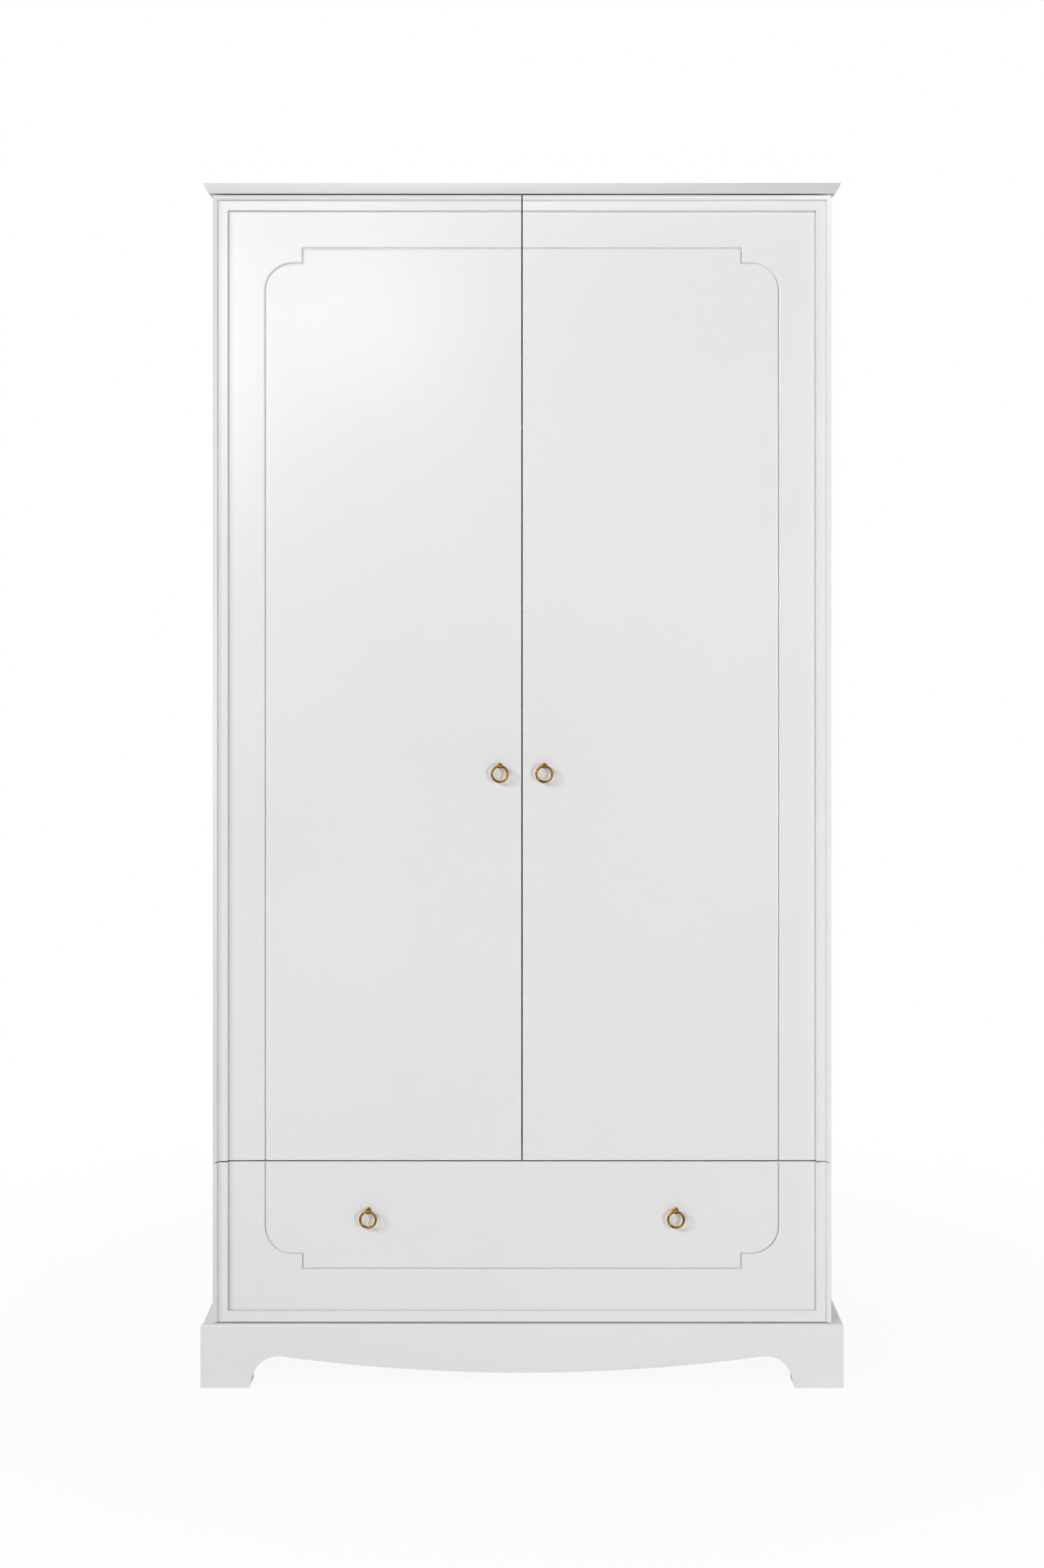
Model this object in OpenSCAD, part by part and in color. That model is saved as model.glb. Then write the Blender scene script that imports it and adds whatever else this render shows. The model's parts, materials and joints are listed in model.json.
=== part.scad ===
// Two-door wardrobe over one wide drawer: mitred crown board, bordered doors with a shaped groove,
// brass ring pulls and a bracket-foot plinth with a bowed apron.
// Millimetres, +Z up, front towards -Y. The origin is the middle of the footprint, on the floor.

/* [Overall] */
// Height from the floor to the top of the crown board
overall_h = 2000; // [1800:10:2200]
// Depth from the crown board's front edge to the back of the carcass
overall_d = 620; // [560:10:700]
// Width of the body: side panels, doors and drawer front
body_w = 1028; // [900:4:1200]

/* [Boards] */
// Thickness of the side panels
side_t = 20; // [18:1:25]
// Thickness of the bottom board, divider board, hat shelf and top rail
shelf_t = 18; // [16:1:22]
// Thickness of the two back panels
back_t = 5; // [3:0.5:8]
// How far the back panels sit in from the back edges of the sides
back_inset = 2; // [1:0.5:4]
// How far the back panels reach into the rebates of the sides
back_lap = 9; // [6:1:12]
// Height of the rail under the crown board that the doors close against
top_rail_h = 60; // [40:5:90]
// Height of the stop batten on the divider board
door_stop_h = 20; // [14:1:30]

/* [Crown board] */
// Thickness of the crown board
crown_t = 16; // [14:1:22]
// Overhang of the crown's upper edge past the body and the border moulding
crown_over = 14; // [11:1:22]
// Overhang of the crown's lower edge
crown_foot = 6; // [4:0.5:9]
// Outward swell of the splayed crown edge
crown_swell = 0.8; // [0.4:0.1:1.2]

/* [Plinth] */
// Height of the plinth
plinth_h = 106; // [90:2:140]
// Ledge of the plinth past each side of the body
plinth_ledge = 20; // [14:1:30]
// Thickness of the plinth boards
plinth_t = 25; // [22:1:32]
// How far the plinth stands in front of the border moulding
plinth_proud = 2; // [1:0.5:5]
// Radius of the plinth's upper outer edge
plinth_round = 4; // [2:0.5:8]
// Width of a bracket foot on the floor
foot_w = 81; // [60:1:110]
// How much the void widens at the foot, from the arch down to the floor
foot_taper = 4; // [1:0.5:8]
// Radius of the small arches beside the feet
arch_r = 44; // [30:1:50]
// Height of the centres of the small arches
arch_z = 9; // [6:1:14]
// Height of the lowest point of the bowed apron
apron_low = 25.7; // [20:0.1:32]
// Section of the square battens and corner blocks inside the plinth
cleat_w = 40; // [30:1:50]
// Height of the battens inside the plinth
cleat_h = 30; // [20:1:40]
// Clearance of the corner blocks from the floor
block_lift = 3; // [1:0.5:6]

/* [Doors and drawer front] */
// Thickness of the doors and of the drawer front, in the flat field
door_t = 22; // [19:1:28]
// Gap between the two doors
door_gap = 2.2; // [1.5:0.1:4]
// Gap between the back of the doors and the carcass
carcass_gap = 2; // [1.8:0.1:3]
// Gap between the plinth and the drawer front
plinth_gap = 2; // [1.5:0.1:4]
// Height of the middle of the seam between doors and drawer front
seam_z = 373.5; // [340:0.5:420]
// Radius of the back outer edge of the doors, which swings past the carcass
door_edge_r = 3; // [2:0.5:5]

/* [Border moulding] */
// Width of the border moulding
mould_w = 24; // [18:1:32]
// Height of the moulding's outer edge over the field
mould_h = 14; // [12:0.5:18]
// Width of the moulding's outer band
band_w = 7.5; // [5:0.5:10]
// Fall of the band's face from its outer to its inner edge
band_fall = 2.4; // [1:0.1:3]
// Step from the band down to the cove
band_step = 1; // [0.6:0.1:1.6]
// Height of the moulding's inner lip over the field
lip_h = 3; // [2:0.5:4]
// Depth of the cove's hollow
cove_hollow = 1.5; // [0.8:0.1:2.2]
// Width of the quirk routed beside the moulding
quirk_w = 1.6; // [1:0.1:2.4]
// Depth of the quirk
quirk_d = 2; // [1:0.1:3]

/* [Shaped groove] */
// Distance of the groove's centreline from the outline of the front
groove_margin = 86; // [70:1:110]
// Width of the groove
groove_w = 9; // [6:0.5:12]
// Depth of the groove
groove_d = 4; // [2:0.5:4.5]
// Radius of the rounded corner
corner_r = 46; // [30:1:60]
// Straight run between the rounded corner and the step
corner_run = 16.5; // [12:0.5:30]
// Height of the step at the corner
corner_step = 25; // [16:1:36]

/* [Ring pulls] */
// Outer diameter of the rings
ring_d = 30; // [24:1:40]
// Diameter of the ring wire
ring_wire = 3.5; // [2.5:0.1:4.5]
// Diameter of the ball head that the ring hangs in
ball_d = 9; // [8.6:0.1:12]
// Clearance round the wire in the eye
eye_clear = 0.25; // [0.15:0.05:0.4]
// Distance from the field to the ring's plane
ring_off = 12; // [10:0.5:16]
// Diameter of the post's stem
stem_d = 4.6; // [3.5:0.1:6]
// Diameter of the post's collar
collar_d = 9; // [8:0.5:14]
// Thickness of the post's collar
collar_t = 1.8; // [1:0.1:3]
// Diameter of the stud through the front
stud_d = 4; // [3:0.5:5]
// Distance of the door pulls from the middle of the wardrobe
door_pull_x = 37; // [28:1:60]
// Height of the pivots of the door rings
door_pull_z = 1033; // [900:1:1150]
// Distance of the drawer pulls from the middle of the wardrobe
drawer_pull_x = 256; // [150:1:320]
// Height of the pivots of the drawer rings over the drawer front's lower edge
drawer_pull_up = 184; // [120:1:200]

/* [Pivot hinges] */
// Distance of the pivot axis from the door's outer edge
pivot_inset = 6.5; // [6:0.1:8]
// Distance of the pivot axis from the door's back face
pivot_back = 8.5; // [7.5:0.1:10]
// Diameter of the pivot pins
pin_d = 5; // [4:0.1:6]
// Radial clearance of the pivot pins
pin_clear = 0.05; // [0.02:0.01:0.1]
// Length of a pivot pin inside the door, past the leaf
pin_reach = 5; // [3:0.5:8]
// Thickness of the plates fixed to the carcass
plate_t = 1.6; // [1.2:0.1:2.4]
// Running gap between a hinge plate and the parts that pass it
plate_clear = 0.4; // [0.3:0.05:0.6]
// Width of the plates and leaves at the pivot
leaf_w = 10; // [8:0.5:11]
// Thickness of the leaves let into the door edges
leaf_t = 2; // [1.5:0.1:3]
// Length of the leaves let into the door edges
leaf_l = 55; // [40:1:80]
// Width of the plates on the carcass boards
plate_w = 44; // [30:1:60]
// Length of the plates behind the front of the carcass
plate_l = 42; // [30:1:60]

/* [Magnets and buffers] */
// Diameter of the magnets in the top rail
magnet_d = 12; // [8:0.5:16]
// Depth of the magnets in the top rail
magnet_l = 10; // [6:0.5:14]
// Distance of the magnets from the middle of the wardrobe
magnet_x = 25; // [18:1:50]
// Diameter of the strike discs on the doors
strike_d = 16; // [12:0.5:24]
// Thickness of the strike discs
strike_t = 0.8; // [0.5:0.1:1.2]
// Gap between magnets and discs, and between buffers and doors
touch_gap = 0.3; // [0.2:0.05:0.5]
// Diameter of the door buffers
buffer_d = 8; // [6:0.5:12]
// Distance of the door buffers from the middle of the wardrobe
buffer_x = 60; // [40:1:120]

/* [Hanging space] */
// Clear height over the hat shelf
hat_space = 284; // [200:2:400]
// Setback of the hat shelf from the front of the carcass
shelf_setback = 20; // [10:1:60]
// Clearance of the hat shelf from the sides and the back
shelf_clear = 0.5; // [0.2:0.1:0.8]
// Diameter of the hanging rail
rail_d = 25; // [20:1:32]
// Wall of the hanging rail
rail_wall = 1.5; // [1:0.1:2.5]
// Distance from the underside of the hat shelf to the middle of the rail
rail_drop = 58; // [45:1:90]
// Thickness of the rail sockets' flanges
flange_t = 3; // [2:0.5:5]
// Depth of the rail sockets' cups
cup_l = 12; // [8:1:18]
// Wall of the rail sockets' cups
cup_wall = 2.5; // [2:0.1:4]
// Clearance of the rail in its sockets
rail_clear = 0.3; // [0.2:0.05:0.5]
// Diameter of the shelf pins
shelf_pin_d = 5; // [4:0.5:7]
// Depth of the shelf pins in the sides
shelf_pin_in = 9; // [6:1:12]
// Reach of the shelf pins under the hat shelf
shelf_pin_out = 9; // [7:1:14]
// Distance of the shelf pins from the front and back edges of the hat shelf
shelf_pin_edge = 60; // [40:1:120]

/* [Wall brackets] */
// Distance between the two wall brackets
bracket_pitch = 800; // [600:10:860]
// Length of a bracket's legs
bracket_leg = 40; // [30:1:60]
// Width of a bracket
bracket_w = 30; // [20:1:40]
// Thickness of a bracket
bracket_t = 2; // [1.5:0.1:3]
// Diameter of the wall screw's hole
wall_hole_d = 6; // [4:0.5:8]
// Clearance round the wall screw in the back panels
wall_hole_clear = 1; // [0.5:0.1:2]

/* [Drawer] */
// Height of the drawer box
box_h = 170; // [120:1:190]
// Depth of the drawer box
box_d = 500; // [420:10:520]
// Thickness of the drawer box's boards
box_t = 12; // [10:1:16]
// Gap between the bottom board and the drawer box
box_lift = 16; // [8:1:24]
// Thickness of the drawer's bottom panel
box_floor_t = 5; // [4:0.5:8]
// Height of the bottom panel over the lower edge of the box
box_floor_up = 12; // [8:1:20]
// Depth of the grooves that hold the bottom panel
box_groove = 6; // [4:0.5:7]
// Clearance of the bottom panel in its grooves
box_clear = 0.2; // [0.1:0.05:0.4]

/* [Drawer runners] */
// Width of a closed runner between carcass and drawer box
runner_w = 12.7; // [12.7:0.1:14]
// Height of a runner
runner_h = 45; // [42:1:53]
// Sheet thickness of the runner members
runner_t = 1.2; // [1:0.1:1.4]
// Height of a ball race between two members
race_h = 2.8; // [2.6:0.1:3.2]
// Distance of a runner's ends from the ends of the drawer box
runner_inset = 6; // [4:1:20]
// Height of the runner's middle over the lower edge of the box
runner_up = 46; // [34:1:70]
// Clearance between balls and races
ball_clear = 0.1; // [0.05:0.05:0.2]
// Length of a ball cage
cage_l = 90; // [60:5:110]

/* [Hidden] */
$fn = 96;

// Finishes
paint = "#E9E9E8";
inside_paint = "#E4E3E0";
pine = "#D8BE93";
brass = "#B98420";
zinc = "#B9BCC0";
chrome = "#CDD0D4";
nylon = "#3A3A3C";
clear_rubber = "#D9DBDA";

// Cuts pass the surfaces that they open by this much
over = 1;

// Planes across the width
body_x = body_w / 2;
inner_x = body_x - side_t;
plinth_x = body_x + plinth_ledge;
meet_x = door_gap / 2;

// Planes through the depth, from the front to the back
crown_y = -overall_d / 2;
mould_y = crown_y + crown_over;
plinth_y = mould_y - plinth_proud;
field_y = mould_y + mould_h;
slab_y = field_y + door_t;
carcass_y = slab_y + carcass_gap;
back_y = overall_d / 2;
panel_y = back_y - back_inset - back_t;

// Planes through the height, from the top down
crown_z = overall_h - crown_t;
door_top = crown_z - plate_t - plate_clear;
seam_gap = plate_t + 2 * plate_clear;
door_bottom = seam_z + seam_gap / 2;
divider_top = seam_z - plate_t / 2;
drawer_top = seam_z - seam_gap / 2;
drawer_bottom = plinth_h + plinth_gap;
floor_z = plinth_h + shelf_t;

// Border moulding: the cove starts below the band and ends on the lip
cove_w = mould_w - band_w;
cove_h = mould_h - band_fall - band_step;

// Pivot axis of the right-hand door, its plates, and the fits in the door
pivot_x = body_x - pivot_inset;
pivot_y = slab_y - pivot_back;
pin_l = plate_clear + leaf_t + pin_reach;
plate_x = inner_x - plate_w;
leaf_fit = 0.1;
pin_hole_clear = 1;

// Ring pulls: the ring turns about the top of its wire
ring_r = (ring_d - ring_wire) / 2;
ring_y = field_y - ring_off;
eye_drop = ring_r - sqrt(pow(ring_r, 2) - pow(ball_d / 2, 2));
eye_r = ring_wire / 2 + eye_drop + eye_clear;
drawer_pull_z = drawer_bottom + drawer_pull_up;
stud_fit = 0.1;
nut_t = 3.2;
nut_d = 8;
washer_t = 0.8;
washer_d = 10;
stud_end = washer_t + nut_t;

// Shaped groove: radius of the cutter, and the places of its upright and of its step
groove_r = (pow(groove_w / 2, 2) + pow(groove_d, 2)) / (2 * groove_d);
groove_x = body_x - groove_margin;
step_x = groove_x - corner_r - corner_run;

// Battens and corner blocks inside the plinth
cleat_x = plinth_x - plinth_t - cleat_w;
cleat_front_y = plinth_y + plinth_t;
cleat_back_y = back_y - plinth_t;

// Wide arc of the apron
arc_overlap = 0.05;
bow_sides = 720;

// Joint strip of the back panels
strip_w = 14;
strip_t = 1;

// Height of the magnets and of the wall brackets' holes
magnet_z = crown_z - top_rail_h / 2;
hole_share = 0.65;
wall_hole_z = crown_z - hole_share * bracket_leg;

// Hanging space
hat_z = crown_z - hat_space;
rail_y = (carcass_y + panel_y) / 2;
rail_z = hat_z - shelf_t - rail_drop;
shelf_front_y = carcass_y + shelf_setback;
shelf_back_y = panel_y - shelf_clear;

// Drawer box and runners
box_x = inner_x - runner_w;
box_z = floor_z + box_lift;
box_back_y = slab_y + box_d;
runner_z = box_z + runner_up;
runner_l = box_d - 2 * runner_inset;
runner_y = slab_y + runner_inset + carcass_gap;
middle_h = runner_h - 2 * runner_t - 2 * race_h;
inner_h = middle_h - 2 * runner_t - 2 * race_h;
member_gap = 1;
web_gap = 0.5;
flange_w = runner_w - 2 * runner_t - member_gap - web_gap;
middle_x = inner_x - runner_t - member_gap;
race_ball_d = race_h - 2 * ball_clear;
cage_t = 1;
cage_w = 4;
cage_balls = 5;

// A block between its lowest and its highest corner
module block(low, high) {
    translate(low) cube(high - low);
}

// A plan outline, drawn in x and y, raised from z0 to z1
module raised(z0, z1) {
    translate([0, 0, z0]) linear_extrude(z1 - z0) children();
}

// An elevation, drawn in x and z, carried back from y0 to y1
module carried_back(y0, y1) {
    translate([0, y1, 0]) rotate([90, 0, 0]) linear_extrude(y1 - y0) children();
}

// A section, drawn in y and z, carried across from x0 to x1
module carried_across(x0, x1) {
    translate([x0, 0, 0]) rotate([90, 0, 90]) linear_extrude(x1 - x0) children();
}

// The same piece on the other side of the wardrobe
module left() {
    mirror([1, 0, 0]) children();
}

module both_sides() {
    children();
    left() children();
}

// The same outline on the other side of x = 0
module both_halves() {
    children();
    mirror([1, 0]) children();
}

// Half plane left of the crown's edge: a splay from the lower to the upper overhang with a slight swell
module crown_edge(reach) {
    rise = [crown_over - crown_foot, crown_t];
    chord = norm(rise);
    radius = (pow(chord / 2, 2) + pow(crown_swell, 2)) / (2 * crown_swell);
    inward = [-rise[1], rise[0]] / chord;
    middle = [crown_foot, 0] + rise / 2;
    intersection() {
        translate([-reach, 0]) square([reach + crown_over + over, crown_t]);
        union() {
            polygon([[-reach, 0], [crown_foot, 0], [crown_over, crown_t], [-reach, crown_t]]);
            translate(middle + inward * (radius - crown_swell)) circle(r = radius);
        }
    }
}

module top_board() {
    color(paint) intersection() {
        carried_back(crown_y, back_y) intersection() {
            translate([body_x, crown_z]) crown_edge(body_w + crown_over);
            mirror([1, 0]) translate([body_x, crown_z]) crown_edge(body_w + crown_over);
        }
        carried_across(-body_x - crown_over, body_x + crown_over) intersection() {
            mirror([1, 0]) translate([-mould_y, crown_z]) crown_edge(overall_d);
            translate([crown_y, crown_z]) square([overall_d, crown_t]);
        }
    }
}

module right_side() {
    color(inside_paint) difference() {
        block([inner_x, carcass_y, plinth_h], [body_x, back_y, crown_z]);
        block([inner_x - over, panel_y, plinth_h - over],
            [inner_x + back_lap, back_y + over, crown_z + over]);
        for (y = [shelf_front_y + shelf_pin_edge, shelf_back_y - shelf_pin_edge])
            translate([inner_x - over, y, hat_z - shelf_t - shelf_pin_d / 2]) rotate([0, 90, 0])
                cylinder(d = shelf_pin_d, h = shelf_pin_in + over);
    }
}

module left_side() {
    left() right_side();
}

// A board between the sides, from the front of the carcass to the back panels
module between_sides(z0, z1) {
    block([-inner_x, carcass_y, z0], [inner_x, panel_y, z1]);
}

module bottom_board() {
    color(inside_paint) between_sides(plinth_h, floor_z);
}

module divider_board() {
    color(inside_paint) between_sides(divider_top - shelf_t, divider_top);
}

// Front rail under the crown board, notched over the hinge plates and bored for the magnets
module top_rail() {
    color(inside_paint) difference() {
        block([-inner_x, carcass_y, crown_z - top_rail_h], [inner_x, carcass_y + shelf_t, crown_z]);
        both_sides() {
            block([plate_x - touch_gap, carcass_y - over, crown_z - plate_t - touch_gap],
                [inner_x + over, carcass_y + shelf_t + over, crown_z + over]);
            translate([magnet_x, carcass_y - over, magnet_z]) rotate([-90, 0, 0])
                cylinder(d = magnet_d, h = magnet_l + over);
        }
    }
}

// Batten on the divider board that the lower door corners close against
module door_stop() {
    color(inside_paint) block([touch_gap - plate_x, carcass_y, divider_top],
        [plate_x - touch_gap, carcass_y + shelf_t, divider_top + door_stop_h]);
}

// Half of the back, in the rebate of its side and in the joint strip
module back_panel_right() {
    color(inside_paint) difference() {
        block([strip_t / 2 + touch_gap, panel_y, plinth_h],
            [inner_x + back_lap - touch_gap, panel_y + back_t, crown_z]);
        translate([bracket_pitch / 2, panel_y - over, wall_hole_z]) rotate([-90, 0, 0])
            cylinder(d = wall_hole_d + 2 * wall_hole_clear, h = back_t + 2 * over);
    }
}

module back_panel_left() {
    left() back_panel_right();
}

// Flat strip behind the joint of the two back panels, with a web between their edges
module back_joint_strip() {
    color(inside_paint) {
        block([-strip_w / 2, panel_y + back_t, plinth_h],
            [strip_w / 2, panel_y + back_t + strip_t, crown_z]);
        block([-strip_t / 2, panel_y, plinth_h], [strip_t / 2, panel_y + back_t, crown_z]);
    }
}

module hat_shelf() {
    color(inside_paint) block([shelf_clear - inner_x, shelf_front_y, hat_z - shelf_t],
        [inner_x - shelf_clear, shelf_back_y, hat_z]);
}

module shelf_pins() {
    color(zinc) both_sides() for (y = [shelf_front_y + shelf_pin_edge, shelf_back_y - shelf_pin_edge])
        translate([inner_x + shelf_pin_in, y, hat_z - shelf_t - shelf_pin_d / 2]) rotate([0, -90, 0])
            cylinder(d = shelf_pin_d, h = shelf_pin_in + shelf_pin_out);
}

module hanging_rail() {
    length = 2 * (inner_x - flange_t - rail_clear);
    color(chrome) translate([0, rail_y, rail_z]) rotate([0, 90, 0]) difference() {
        cylinder(d = rail_d, h = length, center = true);
        cylinder(d = rail_d - 2 * rail_wall, h = length + 2 * over, center = true);
    }
}

// Flange on the side panel with a cup that is open at the top, so that the rail drops in
module rail_sockets() {
    bore_r = rail_d / 2 + rail_clear;
    color(chrome) both_sides() translate([inner_x, rail_y, rail_z]) rotate([0, -90, 0]) difference() {
        union() {
            cylinder(r = bore_r + 2 * cup_wall + flange_t, h = flange_t);
            cylinder(r = bore_r + cup_wall, h = flange_t + cup_l);
        }
        translate([0, 0, flange_t]) {
            cylinder(r = bore_r, h = cup_l + over);
            translate([0, -bore_r, 0]) cube([2 * bore_r + flange_t, 2 * bore_r, cup_l + over]);
        }
    }
}

// Section of a plinth board, drawn outwards along x from its inner face, with a rounded upper edge
module plinth_section() {
    square([plinth_t, plinth_h - plinth_round]);
    square([plinth_t - plinth_round, plinth_h]);
    translate([plinth_t - plinth_round, plinth_h - plinth_round]) circle(r = plinth_round);
}

// Void beside one foot, whose arch has its centre at x = 0 and its foot at larger x
module foot_void() {
    translate([0, arch_z]) circle(r = arch_r);
    polygon([[-arch_r, -over], [arch_r + foot_taper, -over], [arch_r + foot_taper, 0], [arch_r, arch_z],
        [-arch_r, arch_z]]);
}

// Void under the front apron: a wide arc bows down between two small arches. It would be tangent to both,
// and runs into them by arc_overlap, so that they cross at a clear point.
module apron_void() {
    centre_x = plinth_x - foot_w - foot_taper - arch_r;
    rise = apron_low - arch_z;
    bow_r = (pow(centre_x, 2) + pow(rise, 2) - pow(arch_r, 2)) / (2 * (arch_r - rise));
    share = bow_r / (bow_r + arch_r);
    touch_x = centre_x * share;
    touch_z = arch_z + (1 - share) * (rise + bow_r);
    difference() {
        translate([-touch_x, -over]) square([2 * touch_x, touch_z + over]);
        translate([0, apron_low + bow_r]) circle(r = bow_r + arc_overlap, $fn = bow_sides);
    }
    both_halves() translate([centre_x, 0]) foot_void();
}

// Bracket feet at both ends of a side board, with a level edge between the arches
module side_void() {
    front_c = plinth_y + foot_w + foot_taper + arch_r;
    back_c = back_y - foot_w - foot_taper - arch_r;
    translate([front_c, 0]) mirror([1, 0]) foot_void();
    translate([back_c, 0]) foot_void();
    translate([front_c, -over]) square([back_c - front_c, arch_z + arch_r + over]);
}

module plinth_front() {
    color(paint) difference() {
        intersection() {
            carried_across(-plinth_x, plinth_x) translate([plinth_y + plinth_t, 0]) mirror([1, 0])
                plinth_section();
            raised(0, plinth_h) polygon([
                [-plinth_x, plinth_y], [plinth_x, plinth_y],
                [plinth_x - plinth_t, plinth_y + plinth_t], [plinth_t - plinth_x, plinth_y + plinth_t]]);
        }
        carried_back(plinth_y - over, plinth_y + plinth_t + over) apron_void();
    }
}

module plinth_right() {
    color(paint) difference() {
        intersection() {
            carried_back(plinth_y, back_y) translate([plinth_x - plinth_t, 0]) plinth_section();
            raised(0, plinth_h) polygon([
                [plinth_x, plinth_y], [plinth_x, back_y],
                [plinth_x - plinth_t, back_y], [plinth_x - plinth_t, plinth_y + plinth_t]]);
        }
        carried_across(plinth_x - plinth_t - over, plinth_x + over) side_void();
    }
}

module plinth_left() {
    left() plinth_right();
}

// Rail between the side boards at the back, as high over the floor as the arches
module plinth_back() {
    color(paint) block([plinth_t - plinth_x, back_y - plinth_t, arch_z + arch_r],
        [plinth_x - plinth_t, back_y, plinth_h]);
}

module plinth_battens() {
    z = plinth_h - cleat_h;
    color(pine) {
        block([-cleat_x, cleat_front_y, z], [cleat_x, cleat_front_y + cleat_w, plinth_h]);
        block([-cleat_x, cleat_back_y - cleat_w, z], [cleat_x, cleat_back_y, plinth_h]);
        both_sides() block([cleat_x, cleat_front_y + cleat_w, z],
            [cleat_x + cleat_w, cleat_back_y - cleat_w, plinth_h]);
    }
}

module plinth_corner_blocks() {
    color(pine) both_sides() for (y = [cleat_front_y, cleat_back_y - cleat_w])
        block([cleat_x, y, block_lift], [cleat_x + cleat_w, y + cleat_w, plinth_h]);
}

// Outline of a fixed plate: an arm in front of the side panel, and a tongue back over the carcass board
module plate_outline() {
    translate([pivot_x, pivot_y]) circle(d = leaf_w);
    translate([plate_x, pivot_y - leaf_w / 2]) square([pivot_x - plate_x, leaf_w]);
    translate([plate_x, pivot_y - leaf_w / 2])
        square([plate_w - touch_gap, carcass_y + plate_l - pivot_y + leaf_w / 2]);
}

module right_hinge_plates() {
    color(zinc) {
        raised(divider_top, divider_top + plate_t) plate_outline();
        raised(divider_top + plate_t, divider_top + plate_t + pin_l)
            translate([pivot_x, pivot_y]) circle(d = pin_d);
        raised(crown_z - plate_t, crown_z) plate_outline();
        raised(crown_z - plate_t - pin_l, crown_z - plate_t)
            translate([pivot_x, pivot_y]) circle(d = pin_d);
    }
}

module left_hinge_plates() {
    left() right_hinge_plates();
}

// Outline of a leaf in the door's edge, with its round end at the pivot
module leaf_outline(grow) {
    translate([pivot_x, pivot_y]) circle(d = leaf_w + 2 * grow);
    translate([pivot_x - leaf_l - grow, pivot_y - leaf_w / 2 - grow])
        square([leaf_l + grow, leaf_w + 2 * grow]);
}

module right_hinge_leaves() {
    color(zinc) difference() {
        union() {
            raised(door_bottom, door_bottom + leaf_t) leaf_outline(0);
            raised(door_top - leaf_t, door_top) leaf_outline(0);
        }
        raised(door_bottom - over, door_top + over) translate([pivot_x, pivot_y])
            circle(d = pin_d + 2 * pin_clear);
    }
}

module left_hinge_leaves() {
    left() right_hinge_leaves();
}

// Mortises for the leaves and clearance holes for the pins, in the right-hand door
module hinge_mortises() {
    hole_l = leaf_t + pin_reach + over;
    raised(door_bottom - over, door_bottom + leaf_t + leaf_fit) leaf_outline(leaf_fit);
    raised(door_top - leaf_t - leaf_fit, door_top + over) leaf_outline(leaf_fit);
    for (z = [door_bottom - over, door_top - hole_l])
        translate([pivot_x, pivot_y, z]) cylinder(d = pin_d + 2 * pin_hole_clear, h = hole_l + over);
}

// Section of the cove: outer edge at x = 0, inner lip at x = -cove_w, standing towards -y
module cove_section() {
    fall = cove_h - lip_h;
    chord = norm([cove_w, fall]);
    radius = (pow(chord / 2, 2) + pow(cove_hollow, 2)) / (2 * cove_hollow);
    forward = [-fall, -cove_w] / chord;
    middle = -[cove_w, lip_h + cove_h] / 2;
    difference() {
        polygon([[0, 0], [-cove_w, 0], [-cove_w, -lip_h], [0, -cove_h]]);
        translate(middle + forward * (radius - cove_hollow)) circle(r = radius);
    }
}

// Section of the whole border: a falling band, a small step and the cove
module border_section() {
    polygon([[0, 0], [-band_w, 0], [-band_w, -cove_h - band_step], [0, -mould_h]]);
    translate([-band_w, 0]) cove_section();
}

// A strip of border up the right-hand edge of the front
module upright_border(z0, z1) {
    raised(z0, z1) translate([body_x, field_y]) border_section();
}

// Cutting shape for a mitre: all of the front that is nearer to an upright edge than to a level edge.
// It starts at their corner and runs inwards, down with inwards = -1 and up with inwards = 1.
module mitre(edge_x, edge_z, inwards) {
    carried_back(mould_y - over, field_y + over) polygon([
        [edge_x, edge_z], [edge_x - 2 * mould_w, edge_z + 2 * inwards * mould_w],
        [body_x + over, edge_z + 2 * inwards * mould_w], [body_x + over, edge_z]]);
}

module right_door_moulding() {
    color(paint) {
        difference() {
            upright_border(door_bottom, door_top);
            carried_back(mould_y - over, field_y + over) polygon([
                [body_x + over, door_top + over], [body_x - 2 * mould_w, door_top + over],
                [body_x - 2 * mould_w, door_top - 2 * mould_w]]);
        }
        difference() {
            translate([body_x, field_y, door_top]) rotate([0, -90, 0])
                linear_extrude(body_x - meet_x) border_section();
            mitre(body_x, door_top, -1);
        }
    }
}

module left_door_moulding() {
    left() right_door_moulding();
}

// A straight length of the groove's cutter between two points, trimmed by an outline in x and z
module groove_run(from, to, outline) {
    run = to - from;
    intersection() {
        translate([from[0], 0, from[1]]) rotate([0, atan2(run[0], run[1]), 0])
            translate([0, 0, -groove_w]) cylinder(r = groove_r, h = norm(run) + 2 * groove_w);
        carried_back(-2 * groove_r, 2 * groove_r) polygon(outline);
    }
}

// Cutter for the right half of a groove whose level line is at z = 0 and whose upright runs down by drop
module groove_half(drop) {
    w = groove_w;
    low = [step_x, -corner_step];
    high = [step_x, 0];
    bend = [groove_x - corner_r, -corner_step];
    translate([0, groove_d - groove_r, 0]) {
        translate([groove_x, 0, -drop]) cylinder(r = groove_r, h = drop - corner_step - corner_r);
        translate([bend[0], 0, bend[1] - corner_r]) rotate([90, 0, 0])
            rotate_extrude(angle = 90) translate([corner_r, 0]) circle(r = groove_r);
        groove_run(bend, low, [bend + [0, w], low + [w, w], low - [w, w], bend - [0, w]]);
        groove_run(low, high, [low + [w, w], high + [w, w], high - [w, w], low - [w, w]]);
        groove_run(high, [-over, 0], [high + [w, w], high - [w, w], [-over, -w], [-over, w]]);
    }
}

// Quirk beside the border: one upright and one level cut
module quirk_upright(z0, z1) {
    block([body_x - mould_w - quirk_w, field_y - over, z0], [body_x - mould_w, field_y + quirk_d, z1]);
}

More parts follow.
